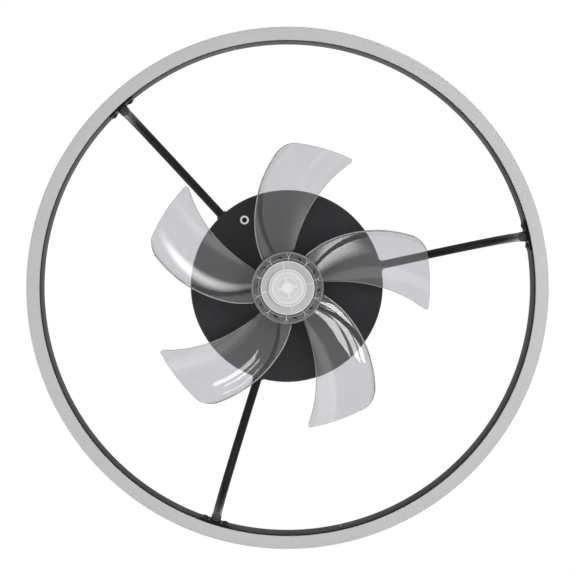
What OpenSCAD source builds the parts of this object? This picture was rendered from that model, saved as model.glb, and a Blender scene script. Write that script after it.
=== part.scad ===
// Orbital ceiling fan: a small clear impeller under a round canopy, and a wide light ring
// carried round it on three bent tube arms. Millimetres. The origin is on the fan's axis in
// the ceiling plane, +Z points up, and everything hangs below it.

/* [Light ring] */
// Outer diameter of the light ring
ring_d = 600; // [500:10:800]
// Width of the ring seen from below
ring_w = 15; // [13:1:30]
// Height of the ring, diffuser included
ring_h = 35; // [28:1:60]
// Wall of the rolled channel
ring_wall = 1.8; // [1.5:0.1:2.5]
// Thickness of the diffuser's face
diffuser_t = 2; // [1.5:0.1:4]
// Radius of the diffuser's rounded outer edge
diffuser_edge_r = 1.6; // [0.5:0.1:1.6]
// Width of the light strip
strip_w = 8; // [5:0.5:8]
// Number of light chips
chip_count = 90; // [30:6:180]

/* [Canopy] */
// Diameter of the canopy
canopy_d = 240; // [200:5:300]
// Height of the canopy
canopy_h = 65; // [60:1:100]
// Sheet of the canopy
canopy_wall = 1.5; // [1:0.1:2.5]
// Outer bend radius round the canopy's floor
canopy_edge_r = 3.5; // [3:0.5:8]
// Distance of the receiver from the canopy's edge
receiver_edge = 22; // [20:1:35]
// Direction of the receiver
receiver_angle = 220; // [213:1:227]

/* [Hanging height] */
// Ceiling to the underside of the light ring
overall_h = 190; // [160:5:260]

/* [Arms] */
// Outer diameter of an arm's tube
arm_d = 10.5; // [8:0.5:13]
// Wall of an arm's tube
arm_wall = 1; // [0.8:0.1:2]
// Height of an arm's axis above the canopy's underside, where it leaves the canopy
arm_height = 15; // [13:1:20]
// Angle turned by an arm's first, wide bend
arm_bend = 35; // [30:1:40]

/* [Impeller] */
// Number of blades
blade_count = 5; // [3:1:7]
// Diameter of the impeller
impeller_d = 349; // [300:1:380]
// Gap between the motor's housing and the hub cup
hub_gap = 3; // [2:0.5:8]
// Height of the hub cup
hub_h = 47; // [42:1:56]
// Thickness of a blade at its root
blade_root_t = 2.6; // [2:0.1:4]
// Thickness of a blade at its tip
blade_tip_t = 1.6; // [1:0.1:2.5]
// Height of a blade's root from leading to trailing edge
blade_rise = 26; // [20:1:36]
// Camber of a blade's root at the middle of its chord
root_camber = 6; // [0:0.5:8]
// Camber of a blade's tip at the middle of its chord
tip_camber = 11; // [0:0.5:14]
// Corner radius where the leading edge meets the tip
tip_lead_r = 6; // [3:1:12]
// Corner radius where the trailing edge meets the tip
tip_trail_r = 12; // [6:1:24]

/* [Motor] */
// Diameter of the motor's housing
motor_d = 76; // [64:1:92]
// Height of the motor
motor_h = 36; // [34:1:44]
// Diameter of the shaft
shaft_d = 8; // [6:0.5:10]
// Diameter of the spinner cap
cap_d = 64.4; // [56:0.2:70]

/* [Ceiling mount] */
// Distance between the two slots for the ceiling box screws
slot_spacing = 88.9; // [70:0.1:100]
// Width of a slot
slot_w = 5; // [4:0.5:6]
// Length of a slot
slot_l = 12; // [8:1:16]

/* [Hidden] */
$fn = 64;

// Colours
black = [0.05, 0.05, 0.055];
clear_grey = [0.5, 0.5, 0.54, 0.45];
milky = [0.78, 0.78, 0.78];
zinc = [0.72, 0.73, 0.75];
steel = [0.55, 0.56, 0.58];
copper = [0.75, 0.4, 0.2];
board_green = [0.08, 0.3, 0.16];

// Clearances
ceiling_gap = 0.5;      // canopy rim below the ceiling
slide_gap = 0.3;        // parts that are pushed together by hand
hole_gap = 0.25;        // round the shank of a screw in a plain hole
air_gap = 0.5;          // between the magnets and the stator
wire_gap = 0.3;         // between a coil and the steel round it
ball_gap = 0.03;        // between a ball and its groove
eps = 0.01;             // overrun of a cut past the face that it opens

// Light ring
ring_r = ring_d / 2;
ring_in_r = ring_r - ring_w;
ring_bottom_z = -overall_h;
ring_top_z = ring_bottom_z + ring_h;
shadow_gap = 4;         // dark reveal between the channel's inner wall and the diffuser
reveal_depth = 0.8;
channel_bottom_z = ring_bottom_z + diffuser_t;
leg_t = 1.2;
leg_h = 8;
snap_r = 0.6;           // bead on a diffuser leg, and its groove in the channel
snap_z = channel_bottom_z + 5;
strip_t = 0.4;
seam_angle = 60;
seam_w = 0.3;
splice_l = 40;
splice_h = 12;
splice_t = 1.5;
splice_z = ring_top_z - ring_wall - splice_h / 2 - 2;
splice_rivet_r = 1.6;
splice_rivet_inset = 8; // rivet to the end of a splice
chip_size = [3.5, 2.8, 0.8];

// Canopy and what it holds
canopy_r = canopy_d / 2;
canopy_in_r = canopy_r - canopy_wall;
canopy_floor_z = -canopy_h + canopy_wall;
chassis_t = 2;
chassis_top_z = canopy_floor_z + chassis_t;
chassis_r = canopy_in_r - canopy_edge_r - 1;
chassis_slot = [34, 10];
chassis_slot_r = chassis_r - 26;
chassis_slot_angles = [-55, -20];
side_screw_d = 3.3;
side_screw_head = [7, 2.4];
side_screw_l = 8;
side_screw_z = -10;
strap_t = 2;
strap_w = 30;
strap_lip = 4;
lip_inset = 14;         // from a tab's face to the end of the stiffening lip
tab_h = 16;
strap_gap = 0.05;       // corner of a tab to the canopy's wall
tab_face_x = sqrt(canopy_in_r * canopy_in_r - strap_w * strap_w / 4) - strap_gap;
ground_x = 22;
bezel_d = 11;
bezel_hole_d = 8;
lens_d = 6.3;
lens_recess = 0.4;
bezel_t = 0.8;
receiver_l = 5;         // bezel's barrel above the canopy's underside
receiver_r = canopy_r - receiver_edge;
receiver_cut_r = 9;     // hole in the chassis round the bezel
receiver_board_size = [14, 14, 1.2];

// Motor and hub, from the canopy down
isolator_t = 3;
motor_r = motor_d / 2;
motor_top_z = -canopy_h - isolator_t;
motor_bottom_z = motor_top_z - motor_h;
cover_t = 3;
can_wall = 2;
can_in_r = motor_r - can_wall;
spigot_t = 2;           // ring on the back cover that centres it in the housing
motor_boss_r = 4;
motor_boss_h = 4;
motor_screw_d = 4;
motor_screw_head = [7.5, 2.6];
motor_screw_bite = 3;   // thread past the back cover's plate
motor_screw_r = can_in_r - spigot_t - motor_boss_r - 2;
housing_floor_t = 2;
vent_r = 3;
shaft_r = shaft_d / 2;
bearing_r = shaft_r + 7;
bearing_h = 7;
ball_r = 1.98;
ball_ring_r = shaft_r + 3.5;
ball_count = 7;
inner_ring_r = shaft_r + 2.4;
outer_ring_in_r = ball_ring_r + 1.1;
bearing_lip_r = ball_ring_r;    // hole behind a bearing, clear of its inner ring
back_bearing_z = motor_top_z - cover_t - 1 - bearing_h;
front_bearing_z = motor_bottom_z + 1;
bearing_boss_r = bearing_r + 2.5;
lead_exit_r = bearing_boss_r + 3.1;
lead_exit_hole_r = 3;
motor_lead_r = 1.9;
cable_hole_r = max(motor_screw_r - 8, lead_exit_r + motor_lead_r + hole_gap);
yoke_t = 6;
tooth_count = 12;
tooth_w = 5;
slot_depth = 6.9;
slot_opening = 2;
shoe_t = 1.8;
stator_in_r = can_in_r - yoke_t - slot_depth - shoe_t;
coil_in_r = stator_in_r + shoe_t + wire_gap;
coil_w = 2 * coil_in_r * tan(180 / tooth_count) - 3.1;
end_turn = 3.5;
rotor_r = stator_in_r - air_gap;
magnet_t = 2.8;
magnet_slack = 3;       // degrees left open between two magnets
rotor_boss_r = shaft_r + 1.5;
magnet_count = 10;
rotor_gap = 1;
rotor_bottom_z = front_bearing_z + bearing_h + rotor_gap;
rotor_h = back_bearing_z - rotor_gap - rotor_bottom_z;

// Driver and board, side by side behind the motor screws
board_edge_y = motor_screw_r * sin(45) + motor_screw_head[0] / 2 + 2.5;
driver_size = [70, 34, 22];
driver_ear = 8;
driver_ear_t = 2.5;
driver_screw_d = 3;
driver_corner = 3;
driver_centre = [-2 - driver_size[0] / 2, board_edge_y + driver_size[1] / 2];
board_size = [60, 40, 1.6];
board_corner = 2;
board_screw_d = 2.5;
board_screw_inset = 4;
board_centre = [3 + board_size[0] / 2, board_edge_y + board_size[1] / 2];
standoff_r = 2.9;
standoff_h = 6;
socket_size = [8, 18, 9];   // the motor lead's socket
socket_x = -22;
terminal_size = [40, 18, 14];
terminal_corner = 1.5;
terminal_centre = [0, -62];
terminal_poles = 3;

hub_wall = 2;
hub_r = motor_r + hub_gap + hub_wall;
hub_overlap = 20;       // how far the cup reaches up round the motor
hub_top_z = motor_bottom_z + hub_overlap;
hub_rim_z = hub_top_z - hub_h;
hub_face_t = 2.2;
hub_rim = 1.2;          // height of the rim round the face
hub_face_z = hub_rim_z + hub_rim;
hub_rib_count = 2 * blade_count;
hub_rib_t = 1.4;
hub_rib_h = 7;
hub_rib_angle = 2.6;
hub_slot = [3.6, 1.1];
hub_slot_r = 37;
hub_slot_angle = 23.1;
hub_slot_turn = -53.5;
boss_gap = 3;           // motor's face to the hub boss
boss_top_z = motor_bottom_z - boss_gap;
boss_r = shaft_r + 8;
pin_d = 3;
pin_l = 2 * (boss_r - 2);
pin_z = boss_top_z - pin_d / 2;
thread_d = shaft_d - 2;
cap_r = cap_d / 2;
cap_flange_t = 2.4;
cap_dome_r = 20.8;
cap_dome_h = 6.4;
cap_skin = 1.2;
cap_boss_r = thread_d / 2 + 2.4;
cap_rib_radii = [12.4, 15.6];
cap_rib_h = 3;
cap_spoke_angle = 62;
cap_spoke_t = 1.6;
cap_web_t = 1.2;        // rib across the flange
shaft_top_z = back_bearing_z + bearing_h - 0.5;
shaft_end_z = hub_face_z - cap_dome_h + cap_skin + 0.6;

// Blades: polar angles of the two edges, at the root, a third, two thirds and the tip
impeller_phase = 47.2;
impeller_r = impeller_d / 2;
lead_sweep = [-1.1, 3.7, 9.9, 17.5];
trail_sweep = [-53.6, -37.4, -24.3, -11.4];
lead_fall = 7;          // leading edge lower at the tip than at the root
trail_fall = 2;         // trailing edge lower at the tip than at the root
lead_inset = 9.2;       // leading edge's root below the cup's upper rim
blade_bury = 1;         // how far a blade's root reaches into the cup's wall
blade_rows = 14;
blade_cols = 12;
blade_lead_z = hub_top_z - lead_inset;

// Arms
arm_r = arm_d / 2;
arm_in_r = arm_r - arm_wall;
arm_angle = 90;         // direction of the first arm, which holds the light's lead
arm_inset = 12;         // tube inside the canopy's wall
arm_straight = 6;       // straight stretch outside the canopy's wall
arm_drop = canopy_h - arm_height;
bracket_h = 20;
bracket_w = 35;
bracket_t = 2;
bracket_corner = 4;
bracket_z = ring_bottom_z + ring_h / 2;
cradle_back = 0.5;      // metal between the tube and the bracket's plate
cradle_wall = 0.4;      // metal beside the tube
cradle_inset = 2;       // cradle below the plate's top and above its bottom
arm_end_r = ring_in_r - bracket_t - cradle_back - arm_r;
arm_bottom_z = bracket_z - bracket_h / 2 + 2.5;
arm_vertical = 15;      // straight stretch above the tube's end
joint_trim = 0.05;      // each stretch of a tube stops this short of the next
joint_l = 1;            // length of the bend mark that joins them
joint_swell = 0.03;     // how far the mark stands out
bracket_screw_gap = 24.5;
bracket_screw_d = 4;
bracket_screw_head = [7.6, 2.8];
lead_hole_z = bracket_z;
lead_hole_r = 2.2;
collar_d = arm_d + 4;
collar_t = 2.2;
nut_af = arm_d + 5;
nut_t = 4;
washer_t = 3;
washer_d = nut_af + 2;
arm_bore_l = 24;        // cut for an arm, past both faces of the pieces round it
plug_t = 1.2;
plug_l = 5;
bend_x = canopy_r + arm_straight;
arm_run = arm_end_r - bend_x;
arm_fall = -arm_drop - (arm_bottom_z + arm_vertical);
bend_det = sin(arm_bend) * cos(arm_bend) - (1 - sin(arm_bend)) * (1 - cos(arm_bend));
bend_1_r = (arm_run * cos(arm_bend) - arm_fall * (1 - sin(arm_bend))) / bend_det;
bend_2_r = (arm_fall * sin(arm_bend) - arm_run * (1 - cos(arm_bend))) / bend_det;
lead_r = 1.4;
lead_sides = 8;

// ---------- Helpers ----------

// Facets of a preview circle: finer on a wide one
function facets(r) = r > 60 ? 360 : 64;

// A tube or washer standing on z
module tube(outer, inner, z, h) {
    translate([0, 0, z]) difference() {
        cylinder(r = outer, h = h, $fn = facets(outer));
        translate([0, 0, -eps]) cylinder(r = inner, h = h + 2 * eps, $fn = facets(outer));
    }
}

// Copies round the axis
module around(count, start = 0) {
    for (i = [0 : count - 1]) rotate(start + i * 360 / count) children();
}

// A cylinder lying along +X from x, at height z
module along_x(r, x, l, z = 0, fn = $fn) {
    translate([x, 0, z]) rotate([0, 90, 0]) cylinder(r = r, h = l, $fn = fn);
}

// A screw with its head's underside at the origin: the shank points down, the head up
module screw(d, l, head_d, head_h) {
    dome = (head_d * head_d / 4 + head_h * head_h) / (2 * head_h);
    difference() {
        union() {
            translate([0, 0, -l]) cylinder(d = d, h = l + head_h / 2);
            intersection() {
                cylinder(d = head_d, h = head_h);
                translate([0, 0, head_h - dome]) sphere(r = dome);
            }
        }
        for (a = [0, 90]) rotate(a) translate([-head_d / 4, -0.4, head_h * 0.45])
            cube([head_d / 2, 0.8, head_h]);
    }
}

// Angles either side of an arm at which its bracket is screwed to the ring
function bracket_screw_angles() = let (a = asin(bracket_screw_gap / 2 / ring_in_r)) [-a, a];

// Angles either side of a seam at which its splice is riveted
function splice_rivet_angles() = let (a = asin((splice_l / 2 - splice_rivet_inset) / ring_r)) [-a, a];

// A flat slab with round corners, centred on the origin
module rounded_slab(size, corner) {
    for (a = [[size[0], size[1] - 2 * corner], [size[0] - 2 * corner, size[1]]])
        translate([-a[0] / 2, -a[1] / 2, 0]) cube([a[0], a[1], size[2]]);
    for (x = [-1, 1], y = [-1, 1])
        translate([x * (size[0] / 2 - corner), y * (size[1] / 2 - corner), 0])
            cylinder(r = corner, h = size[2]);
}

function unit(v) = v / norm(v);
function tangent(path, i) = unit(path[min(i + 1, len(path) - 1)] - path[max(i - 1, 0)]);

// A frame of two normals at each point of a path, carried along without twist
function frames(path, i, last) =
    i == len(path) ? [] :
    let (t = tangent(path, i), n = unit(last - t * (last * t)))
    concat([[n, cross(t, n)]], frames(path, i + 1, n));

// One ring of points of a round lead
function lead_ring(centre, frame, r) =
    [for (k = [0 : lead_sides - 1]) let (a = k * 360 / lead_sides)
        centre + r * (cos(a) * frame[0] + sin(a) * frame[1])];

// A closed skin over loops of points that have the same even count
module skin(loops) {
    n = len(loops[0]);
    last = len(loops) - 1;
    points = [for (loop = loops) each loop];
    sides = [for (i = [0 : last - 1], j = [0 : n - 1])
        let (a = i * n + j, b = i * n + (j + 1) % n)
        each [[a, a + n, b], [b, a + n, b + n]]];
    base = last * n;
    cap = concat([for (j = [1 : n / 2 - 1]) [n - j, j, j + 1]],
        [for (j = [0 : n / 2 - 2]) [(n - j) % n, j + 1, n - j - 1]]);
    caps = concat(cap, [for (f = cap) [base + f[0], base + f[2], base + f[1]]]);
    polyhedron(points = points, faces = concat(sides, caps), convexity = 6);
}

// A round lead along a path
module lead(path, r, start) {
    f = frames(path, 0, start);
    skin([for (i = [0 : len(path) - 1]) lead_ring(path[i], f[i], r)]);
}

// Points of an arc in the XZ plane round a centre
function arc_xz(cx, cz, r, from, to, steps) =
    [for (i = [0 : steps]) let (a = from + (to - from) * i / steps) [cx + r * cos(a), 0, cz + r * sin(a)]];

// Points of a smooth curve through hand-chosen route points
function smooth(p, steps) = concat(
    [for (i = [0 : len(p) - 2], k = [0 : steps - 1])
        let (a = p[max(i - 1, 0)], b = p[i], c = p[i + 1], d = p[min(i + 2, len(p) - 1)], t = k / steps)
        b + t / 2 * (c - a) + t * t * (a - 2.5 * b + 2 * c - d / 2)
            + t * t * t / 2 * (3 * b - 3 * c + d - a)],
    [p[len(p) - 1]]);

// ---------- Ceiling mount ----------

module ceiling_bracket() {
    color(zinc) difference() {
        union() {
            translate([-tab_face_x, -strap_w / 2, -strap_t]) cube([2 * tab_face_x, strap_w, strap_t]);
            for (s = [0, 180]) rotate(s) {
                translate([tab_face_x - strap_t, -strap_w / 2, -tab_h]) cube([strap_t, strap_w, tab_h]);
                translate([-tab_face_x + lip_inset, strap_w / 2 - strap_t, -strap_t - strap_lip])
                    cube([2 * (tab_face_x - lip_inset), strap_t, strap_t + strap_lip]);
            }
        }
        for (s = [-1, 1]) translate([s * slot_spacing / 2, 0, -strap_t - eps])
            slot(slot_l, slot_w, strap_t + 2 * eps);
        for (s = [0, 180]) rotate(s)
            along_x(side_screw_d / 2, tab_face_x - strap_t - eps, strap_t + 2 * eps, side_screw_z);
        translate([ground_x, 0, -strap_t - eps]) cylinder(d = side_screw_d, h = strap_t + 2 * eps);
    }
}

module slot(l, w, h) {
    translate([-(l - w) / 2, -w / 2, 0]) cube([l - w, w, h]);
    for (s = [-1, 1]) translate([s * (l - w) / 2, 0, 0]) cylinder(d = w, h = h);
}

module ground_screw() {
    color([0.1, 0.45, 0.2]) translate([ground_x, 0, -strap_t]) mirror([0, 0, 1])
        screw(side_screw_d, strap_t - 0.2, 8, 2.6);
}

// ---------- Canopy ----------

module canopy_shell() {
    outer_h = canopy_h - ceiling_gap;
    color(black) difference() {
        translate([0, 0, -canopy_h]) rotate_extrude($fn = 128) difference() {
            round_corner_box(canopy_r, outer_h, canopy_edge_r);
            translate([0, canopy_wall])
                round_corner_box(canopy_in_r, outer_h, canopy_edge_r - canopy_wall);
        }
        translate([0, 0, -canopy_h - eps]) cylinder(r = cable_hole_r, h = canopy_wall + 2 * eps);
        motor_screw_holes(-canopy_h - eps, canopy_wall + 2 * eps);
        receiver_place(-canopy_h - eps) cylinder(d = bezel_hole_d, h = canopy_wall + 2 * eps);
        around(3, arm_angle) along_x(arm_r + slide_gap / 2, canopy_r - 20, 30, -arm_drop);
        for (s = [0, 180]) rotate(s)
            along_x(side_screw_d / 2 + hole_gap, canopy_in_r - 3, 10, side_screw_z);
    }
}

// Half section of a pan with a rounded lower edge, standing on y = 0
module round_corner_box(r, h, corner) {
    translate([0, corner]) square([r, h - corner]);
    square([r - corner, corner + eps]);
    translate([r - corner, corner]) intersection() {
        circle(r = corner);
        translate([-eps, -corner]) square([corner + eps, corner + eps]);
    }
}

module motor_screw_holes(z, h) {
    around(4, 45) translate([motor_screw_r, 0, z]) cylinder(r = motor_screw_d / 2 + hole_gap, h = h);
}

module receiver_place(z) {
    rotate(receiver_angle) translate([receiver_r, 0, z]) children();
}

module canopy_side_screws() {
    color(black) for (s = [0, 180]) rotate(s) translate([canopy_r, 0, side_screw_z])
        rotate([0, 90, 0]) screw(side_screw_d, side_screw_l, side_screw_head[0], side_screw_head[1]);
}

module chassis_plate() {
    color(zinc) difference() {
        translate([0, 0, canopy_floor_z]) cylinder(r = chassis_r, h = chassis_t);
        translate([0, 0, canopy_floor_z - eps]) {
            cylinder(r = cable_hole_r, h = chassis_t + 2 * eps);
            for (p = driver_holes()) translate(p) cylinder(d = driver_screw_d, h = chassis_t + 2 * eps);
            for (a = chassis_slot_angles) rotate(a) translate([chassis_slot_r, 0, 0]) rotate(90)
                slot(chassis_slot[0], chassis_slot[1], chassis_t + 2 * eps);
        }
        motor_screw_holes(canopy_floor_z - eps, chassis_t + 2 * eps);
        receiver_place(canopy_floor_z - eps) cylinder(r = receiver_cut_r, h = chassis_t + 2 * eps);
    }
}

// ---------- Electronics on the chassis ----------

function driver_holes() =
    [for (s = [-1, 1]) [driver_centre[0] + s * (driver_size[0] - driver_ear) / 2, driver_centre[1], 0]];
function board_holes() =
    [for (x = [-1, 1], y = [-1, 1]) [board_centre[0] + x * (board_size[0] / 2 - board_screw_inset),
        board_centre[1] + y * (board_size[1] / 2 - board_screw_inset), 0]];

module led_driver() {
    body_l = driver_size[0] - 2 * driver_ear;
    lead_mouth_r = 2.2;
    color([0.88, 0.88, 0.86]) difference() {
        translate([driver_centre[0], driver_centre[1], chassis_top_z]) {
            rounded_slab([driver_size[0], driver_size[1], driver_ear_t], driver_corner);
            rounded_slab([body_l, driver_size[1], driver_size[2]], driver_corner);
        }
        for (p = driver_holes()) translate([p[0], p[1], chassis_top_z - eps])
            cylinder(d = driver_screw_d + 2 * hole_gap, h = driver_ear_t + 2 * eps);
        for (s = [-1, 1]) translate([driver_centre[0], driver_centre[1], 0])
            along_x(lead_mouth_r, s * body_l / 2 - 3, 6, chassis_top_z + driver_size[2] / 2);
    }
}

module driver_screws() {
    color(steel) for (p = driver_holes()) translate([p[0], p[1], chassis_top_z + driver_ear_t])
        screw(driver_screw_d, driver_ear_t + chassis_t - 0.3, 6, 2);
}

module control_board() {
    color(board_green) difference() {
        translate([board_centre[0], board_centre[1], chassis_top_z + standoff_h])
            rounded_slab(board_size, board_corner);
        for (p = board_holes()) translate([p[0], p[1], chassis_top_z + standoff_h - eps])
            cylinder(d = board_screw_d + 2 * hole_gap, h = board_size[2] + 2 * eps);
    }
}

// A boxy component standing on the board, placed from the board's centre
module component(x, y, size, tint) {
    color(tint) translate([x, y, 0]) rounded_slab(size, 0.6);
}

module board_components() {
    translate([board_centre[0], board_centre[1], chassis_top_z + standoff_h + board_size[2]]) {
        component(-6, -2, [18, 16, 15], [0.95, 0.85, 0.2]);     // transformer
        component(8, -13, [8, 8, 1.6], [0.1, 0.1, 0.1]);        // processor
        component(6, 12, [12, 6, 9], [0.2, 0.4, 0.7]);          // film capacitor
        component(socket_x, 0, socket_size, [0.9, 0.9, 0.9]);   // motor's socket
        component(25, 0, [6, 10, 7], [0.9, 0.9, 0.9]);          // receiver's socket
        color([0.15, 0.15, 0.2]) for (y = [-7, 7]) translate([16, y, 0]) cylinder(r = 5, h = 18);
    }
}

module board_standoffs() {
    color(steel) for (p = board_holes()) translate([p[0], p[1], 0])
        tube(standoff_r, board_screw_d / 2, chassis_top_z, standoff_h);
}

module board_screws() {
    color(steel) for (p = board_holes())
        translate([p[0], p[1], chassis_top_z + standoff_h + board_size[2]]) screw(board_screw_d, 6, 5.2, 1.8);
}

module terminal_block() {
    pitch = terminal_size[0] / terminal_poles;
    well = [3, 4];          // radius and depth of a screw's well
    mouth = [2.2, 6, 5];    // radius, depth and height of a wire's mouth
    color([0.9, 0.9, 0.88]) translate([terminal_centre[0], terminal_centre[1], chassis_top_z]) difference() {
        rounded_slab(terminal_size, terminal_corner);
        for (i = [0 : terminal_poles - 1]) translate([(i - (terminal_poles - 1) / 2) * pitch, 0, 0]) {
            translate([0, 0, terminal_size[2] - well[1]]) cylinder(r = well[0], h = well[1] + eps);
            for (side = [0, 180]) rotate(side) translate([0, -terminal_size[1] / 2 - eps, mouth[2]])
                rotate([-90, 0, 0]) cylinder(r = mouth[0], h = mouth[1]);
        }
    }
}

// ---------- Receiver ----------

module receiver_bezel() {
    color([0.9, 0.9, 0.9]) receiver_place(-canopy_h) difference() {
        union() {
            translate([0, 0, -bezel_t]) cylinder(d = bezel_d, h = bezel_t);
            translate([0, 0, -eps]) cylinder(d = bezel_hole_d, h = receiver_l + eps);
        }
        translate([0, 0, -bezel_t - eps]) cylinder(d = lens_d, h = bezel_t + receiver_l + 2 * eps);
    }
}

module receiver_lens() {
    color([0.03, 0.02, 0.03]) receiver_place(-canopy_h - bezel_t + lens_recess)
        cylinder(d = lens_d, h = receiver_l + bezel_t - lens_recess);
}

module receiver_board() {
    color(board_green) receiver_place(-canopy_h + receiver_l) rounded_slab(receiver_board_size, 1);
}

// ---------- Motor, fixed parts ----------

module motor_isolator() {
    color([0.03, 0.03, 0.03]) difference() {
        tube(motor_r - 2, cable_hole_r + 0.5, motor_top_z, isolator_t);
        motor_screw_holes(motor_top_z - eps, isolator_t + 2 * eps);
    }
}

module motor_screws() {
    color(steel) around(4, 45) translate([motor_screw_r, 0, chassis_top_z])
        screw(motor_screw_d, chassis_top_z - motor_top_z + cover_t + motor_screw_bite,
            motor_screw_head[0], motor_screw_head[1]);
}

module motor_back_cover() {
    color(black) difference() {
        union() {
            translate([0, 0, motor_top_z - cover_t]) cylinder(r = motor_r, h = cover_t);
            tube(can_in_r, can_in_r - spigot_t, motor_top_z - cover_t - spigot_t, spigot_t + eps);
            translate([0, 0, back_bearing_z]) cylinder(r = bearing_boss_r, h = motor_top_z - back_bearing_z);
            around(4, 45) translate([motor_screw_r, 0, motor_top_z - cover_t - motor_boss_h])
                cylinder(r = motor_boss_r, h = motor_boss_h + 1);
        }
        translate([0, 0, back_bearing_z - eps]) cylinder(r = bearing_r, h = bearing_h + eps);
        translate([0, 0, back_bearing_z]) cylinder(r = bearing_lip_r, h = bearing_h + 1.5);
        around(4, 45) translate([motor_screw_r, 0, motor_top_z - cover_t - motor_boss_h - eps])
            cylinder(d = motor_screw_d, h = cover_t + motor_boss_h + 1);
        translate([0, -lead_exit_r, motor_top_z - cover_t - 1])
            cylinder(r = lead_exit_hole_r, h = cover_t + 2);
    }
}

module motor_housing() {
    color(black) difference() {
        union() {
            tube(motor_r, can_in_r, motor_bottom_z, motor_h - cover_t);
            translate([0, 0, motor_bottom_z]) cylinder(r = motor_r - 0.5, h = housing_floor_t);
            translate([0, 0, motor_bottom_z]) cylinder(r = bearing_boss_r, h = bearing_h + 1);
        }
        translate([0, 0, front_bearing_z]) cylinder(r = bearing_r, h = bearing_h + eps);
        translate([0, 0, motor_bottom_z - eps]) cylinder(r = bearing_lip_r, h = 2);
        around(6, 30) translate([(can_in_r + bearing_boss_r) / 2, 0, motor_bottom_z - eps])
            cylinder(r = vent_r, h = housing_floor_t + 2 * eps);
    }
}

module stator_core() {
    color(steel) translate([0, 0, rotor_bottom_z]) linear_extrude(rotor_h) {
        difference() {
            circle(r = can_in_r);
            circle(r = can_in_r - yoke_t);
        }
        around(tooth_count) translate([stator_in_r + shoe_t / 2, -tooth_w / 2])
            square([can_in_r - yoke_t - stator_in_r, tooth_w]);
        difference() {
            circle(r = stator_in_r + shoe_t);
            circle(r = stator_in_r);
            around(tooth_count, 180 / tooth_count) translate([stator_in_r - 1, -slot_opening / 2])
                square([shoe_t + 2, slot_opening]);
        }
    }
}

module stator_windings() {
    depth = slot_depth - 2 * wire_gap;
    h = rotor_h + 2 * end_turn;
    color(copper) translate([0, 0, rotor_bottom_z - end_turn]) around(tooth_count) difference() {
        translate([coil_in_r, 0, 0]) coil_block(depth, coil_w, h);
        translate([coil_in_r - eps, -tooth_w / 2, end_turn]) cube([depth + 2 * eps, tooth_w, rotor_h]);
    }
}

// A coil's outline with rounded upper and lower edges
module coil_block(depth, w, h) {
    r = 2;
    rotate([90, 0, 90]) linear_extrude(depth) {
        translate([-w / 2, r]) square([w, h - 2 * r]);
        translate([-w / 2 + r, 0]) square([w - 2 * r, h]);
        for (x = [-1, 1], y = [r, h - r]) translate([x * (w / 2 - r), y]) circle(r = r, $fn = 24);
    }
}

module bearing_outer_rings() {
    color(steel) for (z = [back_bearing_z, front_bearing_z]) translate([0, 0, z])
        rotate_extrude() difference() {
            translate([outer_ring_in_r, 0]) square([bearing_r - outer_ring_in_r, bearing_h]);
            translate([ball_ring_r, bearing_h / 2]) circle(r = ball_r + ball_gap);
        }
}

module bearing_balls() {
    color(steel) for (z = [back_bearing_z, front_bearing_z])
        around(ball_count) translate([ball_ring_r, 0, z + bearing_h / 2]) sphere(r = ball_r, $fn = 32);
}

// Three-core lead from the windings up through the canopy's cable hole to the board
motor_lead_start = [0, -lead_exit_r, motor_top_z];
motor_lead_end = [
    board_centre[0] + socket_x, board_centre[1] - socket_size[1] / 2,
    chassis_top_z + standoff_h + board_size[2] + socket_size[2] / 2
];
motor_lead_route = concat(
    [for (p = [[0, -10.4, -6.5], [0, -5.4, -6.4], [0, -1.1, -4.6], [0, 0, -1], [0, 0.2, 4], [1, 1.6, 10],
        [4, 8.6, 16]]) motor_lead_start + p],
    [for (p = [[-3, -33, 0.9], [-0.5, -22, 1.4], [0, -11, 0.4], [0, -5, 0], [0, 0, 0]]) motor_lead_end + p]);
module motor_lead() {
    color([0.15, 0.15, 0.16]) lead(smooth(motor_lead_route, 3), motor_lead_r, [1, 0, 0]);
}

// ---------- Arms ----------

// Section of an arm's tube
module arm_section(swell = 0) {
    difference() {
        circle(r = arm_r + swell, $fn = 48);
        circle(r = arm_in_r - swell, $fn = 48);
    }
}

// A stretch of tube bent in the XZ plane, from one angle to another
module arm_bend_tube(cx, cz, r, from, to) {
    trim = asin(joint_trim / r);
    translate([cx, 0, cz]) rotate([90, 0, 0]) rotate(from + trim)
        rotate_extrude(angle = to - from - 2 * trim, $fn = 180) translate([r, 0]) arm_section();
}

// The faint ring that a bending tool leaves where a stretch ends
module arm_bend_mark(x, z, pitch) {
    translate([x, 0, z]) rotate([0, 90 + pitch, 0]) translate([0, 0, -joint_l / 2])
        linear_extrude(joint_l) arm_section(joint_swell);
}

// A bent tube: straight out of the canopy, two bends, then straight down
module arm(angle, with_lead) {
    low_z = arm_bottom_z + arm_vertical;
    start_x = canopy_in_r - arm_inset;
    color(black) rotate(angle) {
        translate([start_x, 0, -arm_drop]) rotate([0, 90, 0])
            linear_extrude(bend_x - start_x - joint_trim) arm_section();
        arm_bend_mark(bend_x, -arm_drop, 0);
        arm_bend_tube(bend_x, -arm_drop - bend_1_r, bend_1_r, 90 - arm_bend, 90);
        arm_bend_mark(bend_x + bend_1_r * sin(arm_bend),
            -arm_drop - bend_1_r * (1 - cos(arm_bend)), arm_bend);
        arm_bend_tube(arm_end_r - bend_2_r, low_z, bend_2_r, 0, 90 - arm_bend);
        arm_bend_mark(arm_end_r, low_z, 90);
        difference() {
            translate([arm_end_r, 0, arm_bottom_z])
                linear_extrude(arm_vertical - joint_trim) arm_section();
            if (with_lead) along_x(lead_hole_r, arm_end_r, arm_d, lead_hole_z);
        }
    }
}

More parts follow.
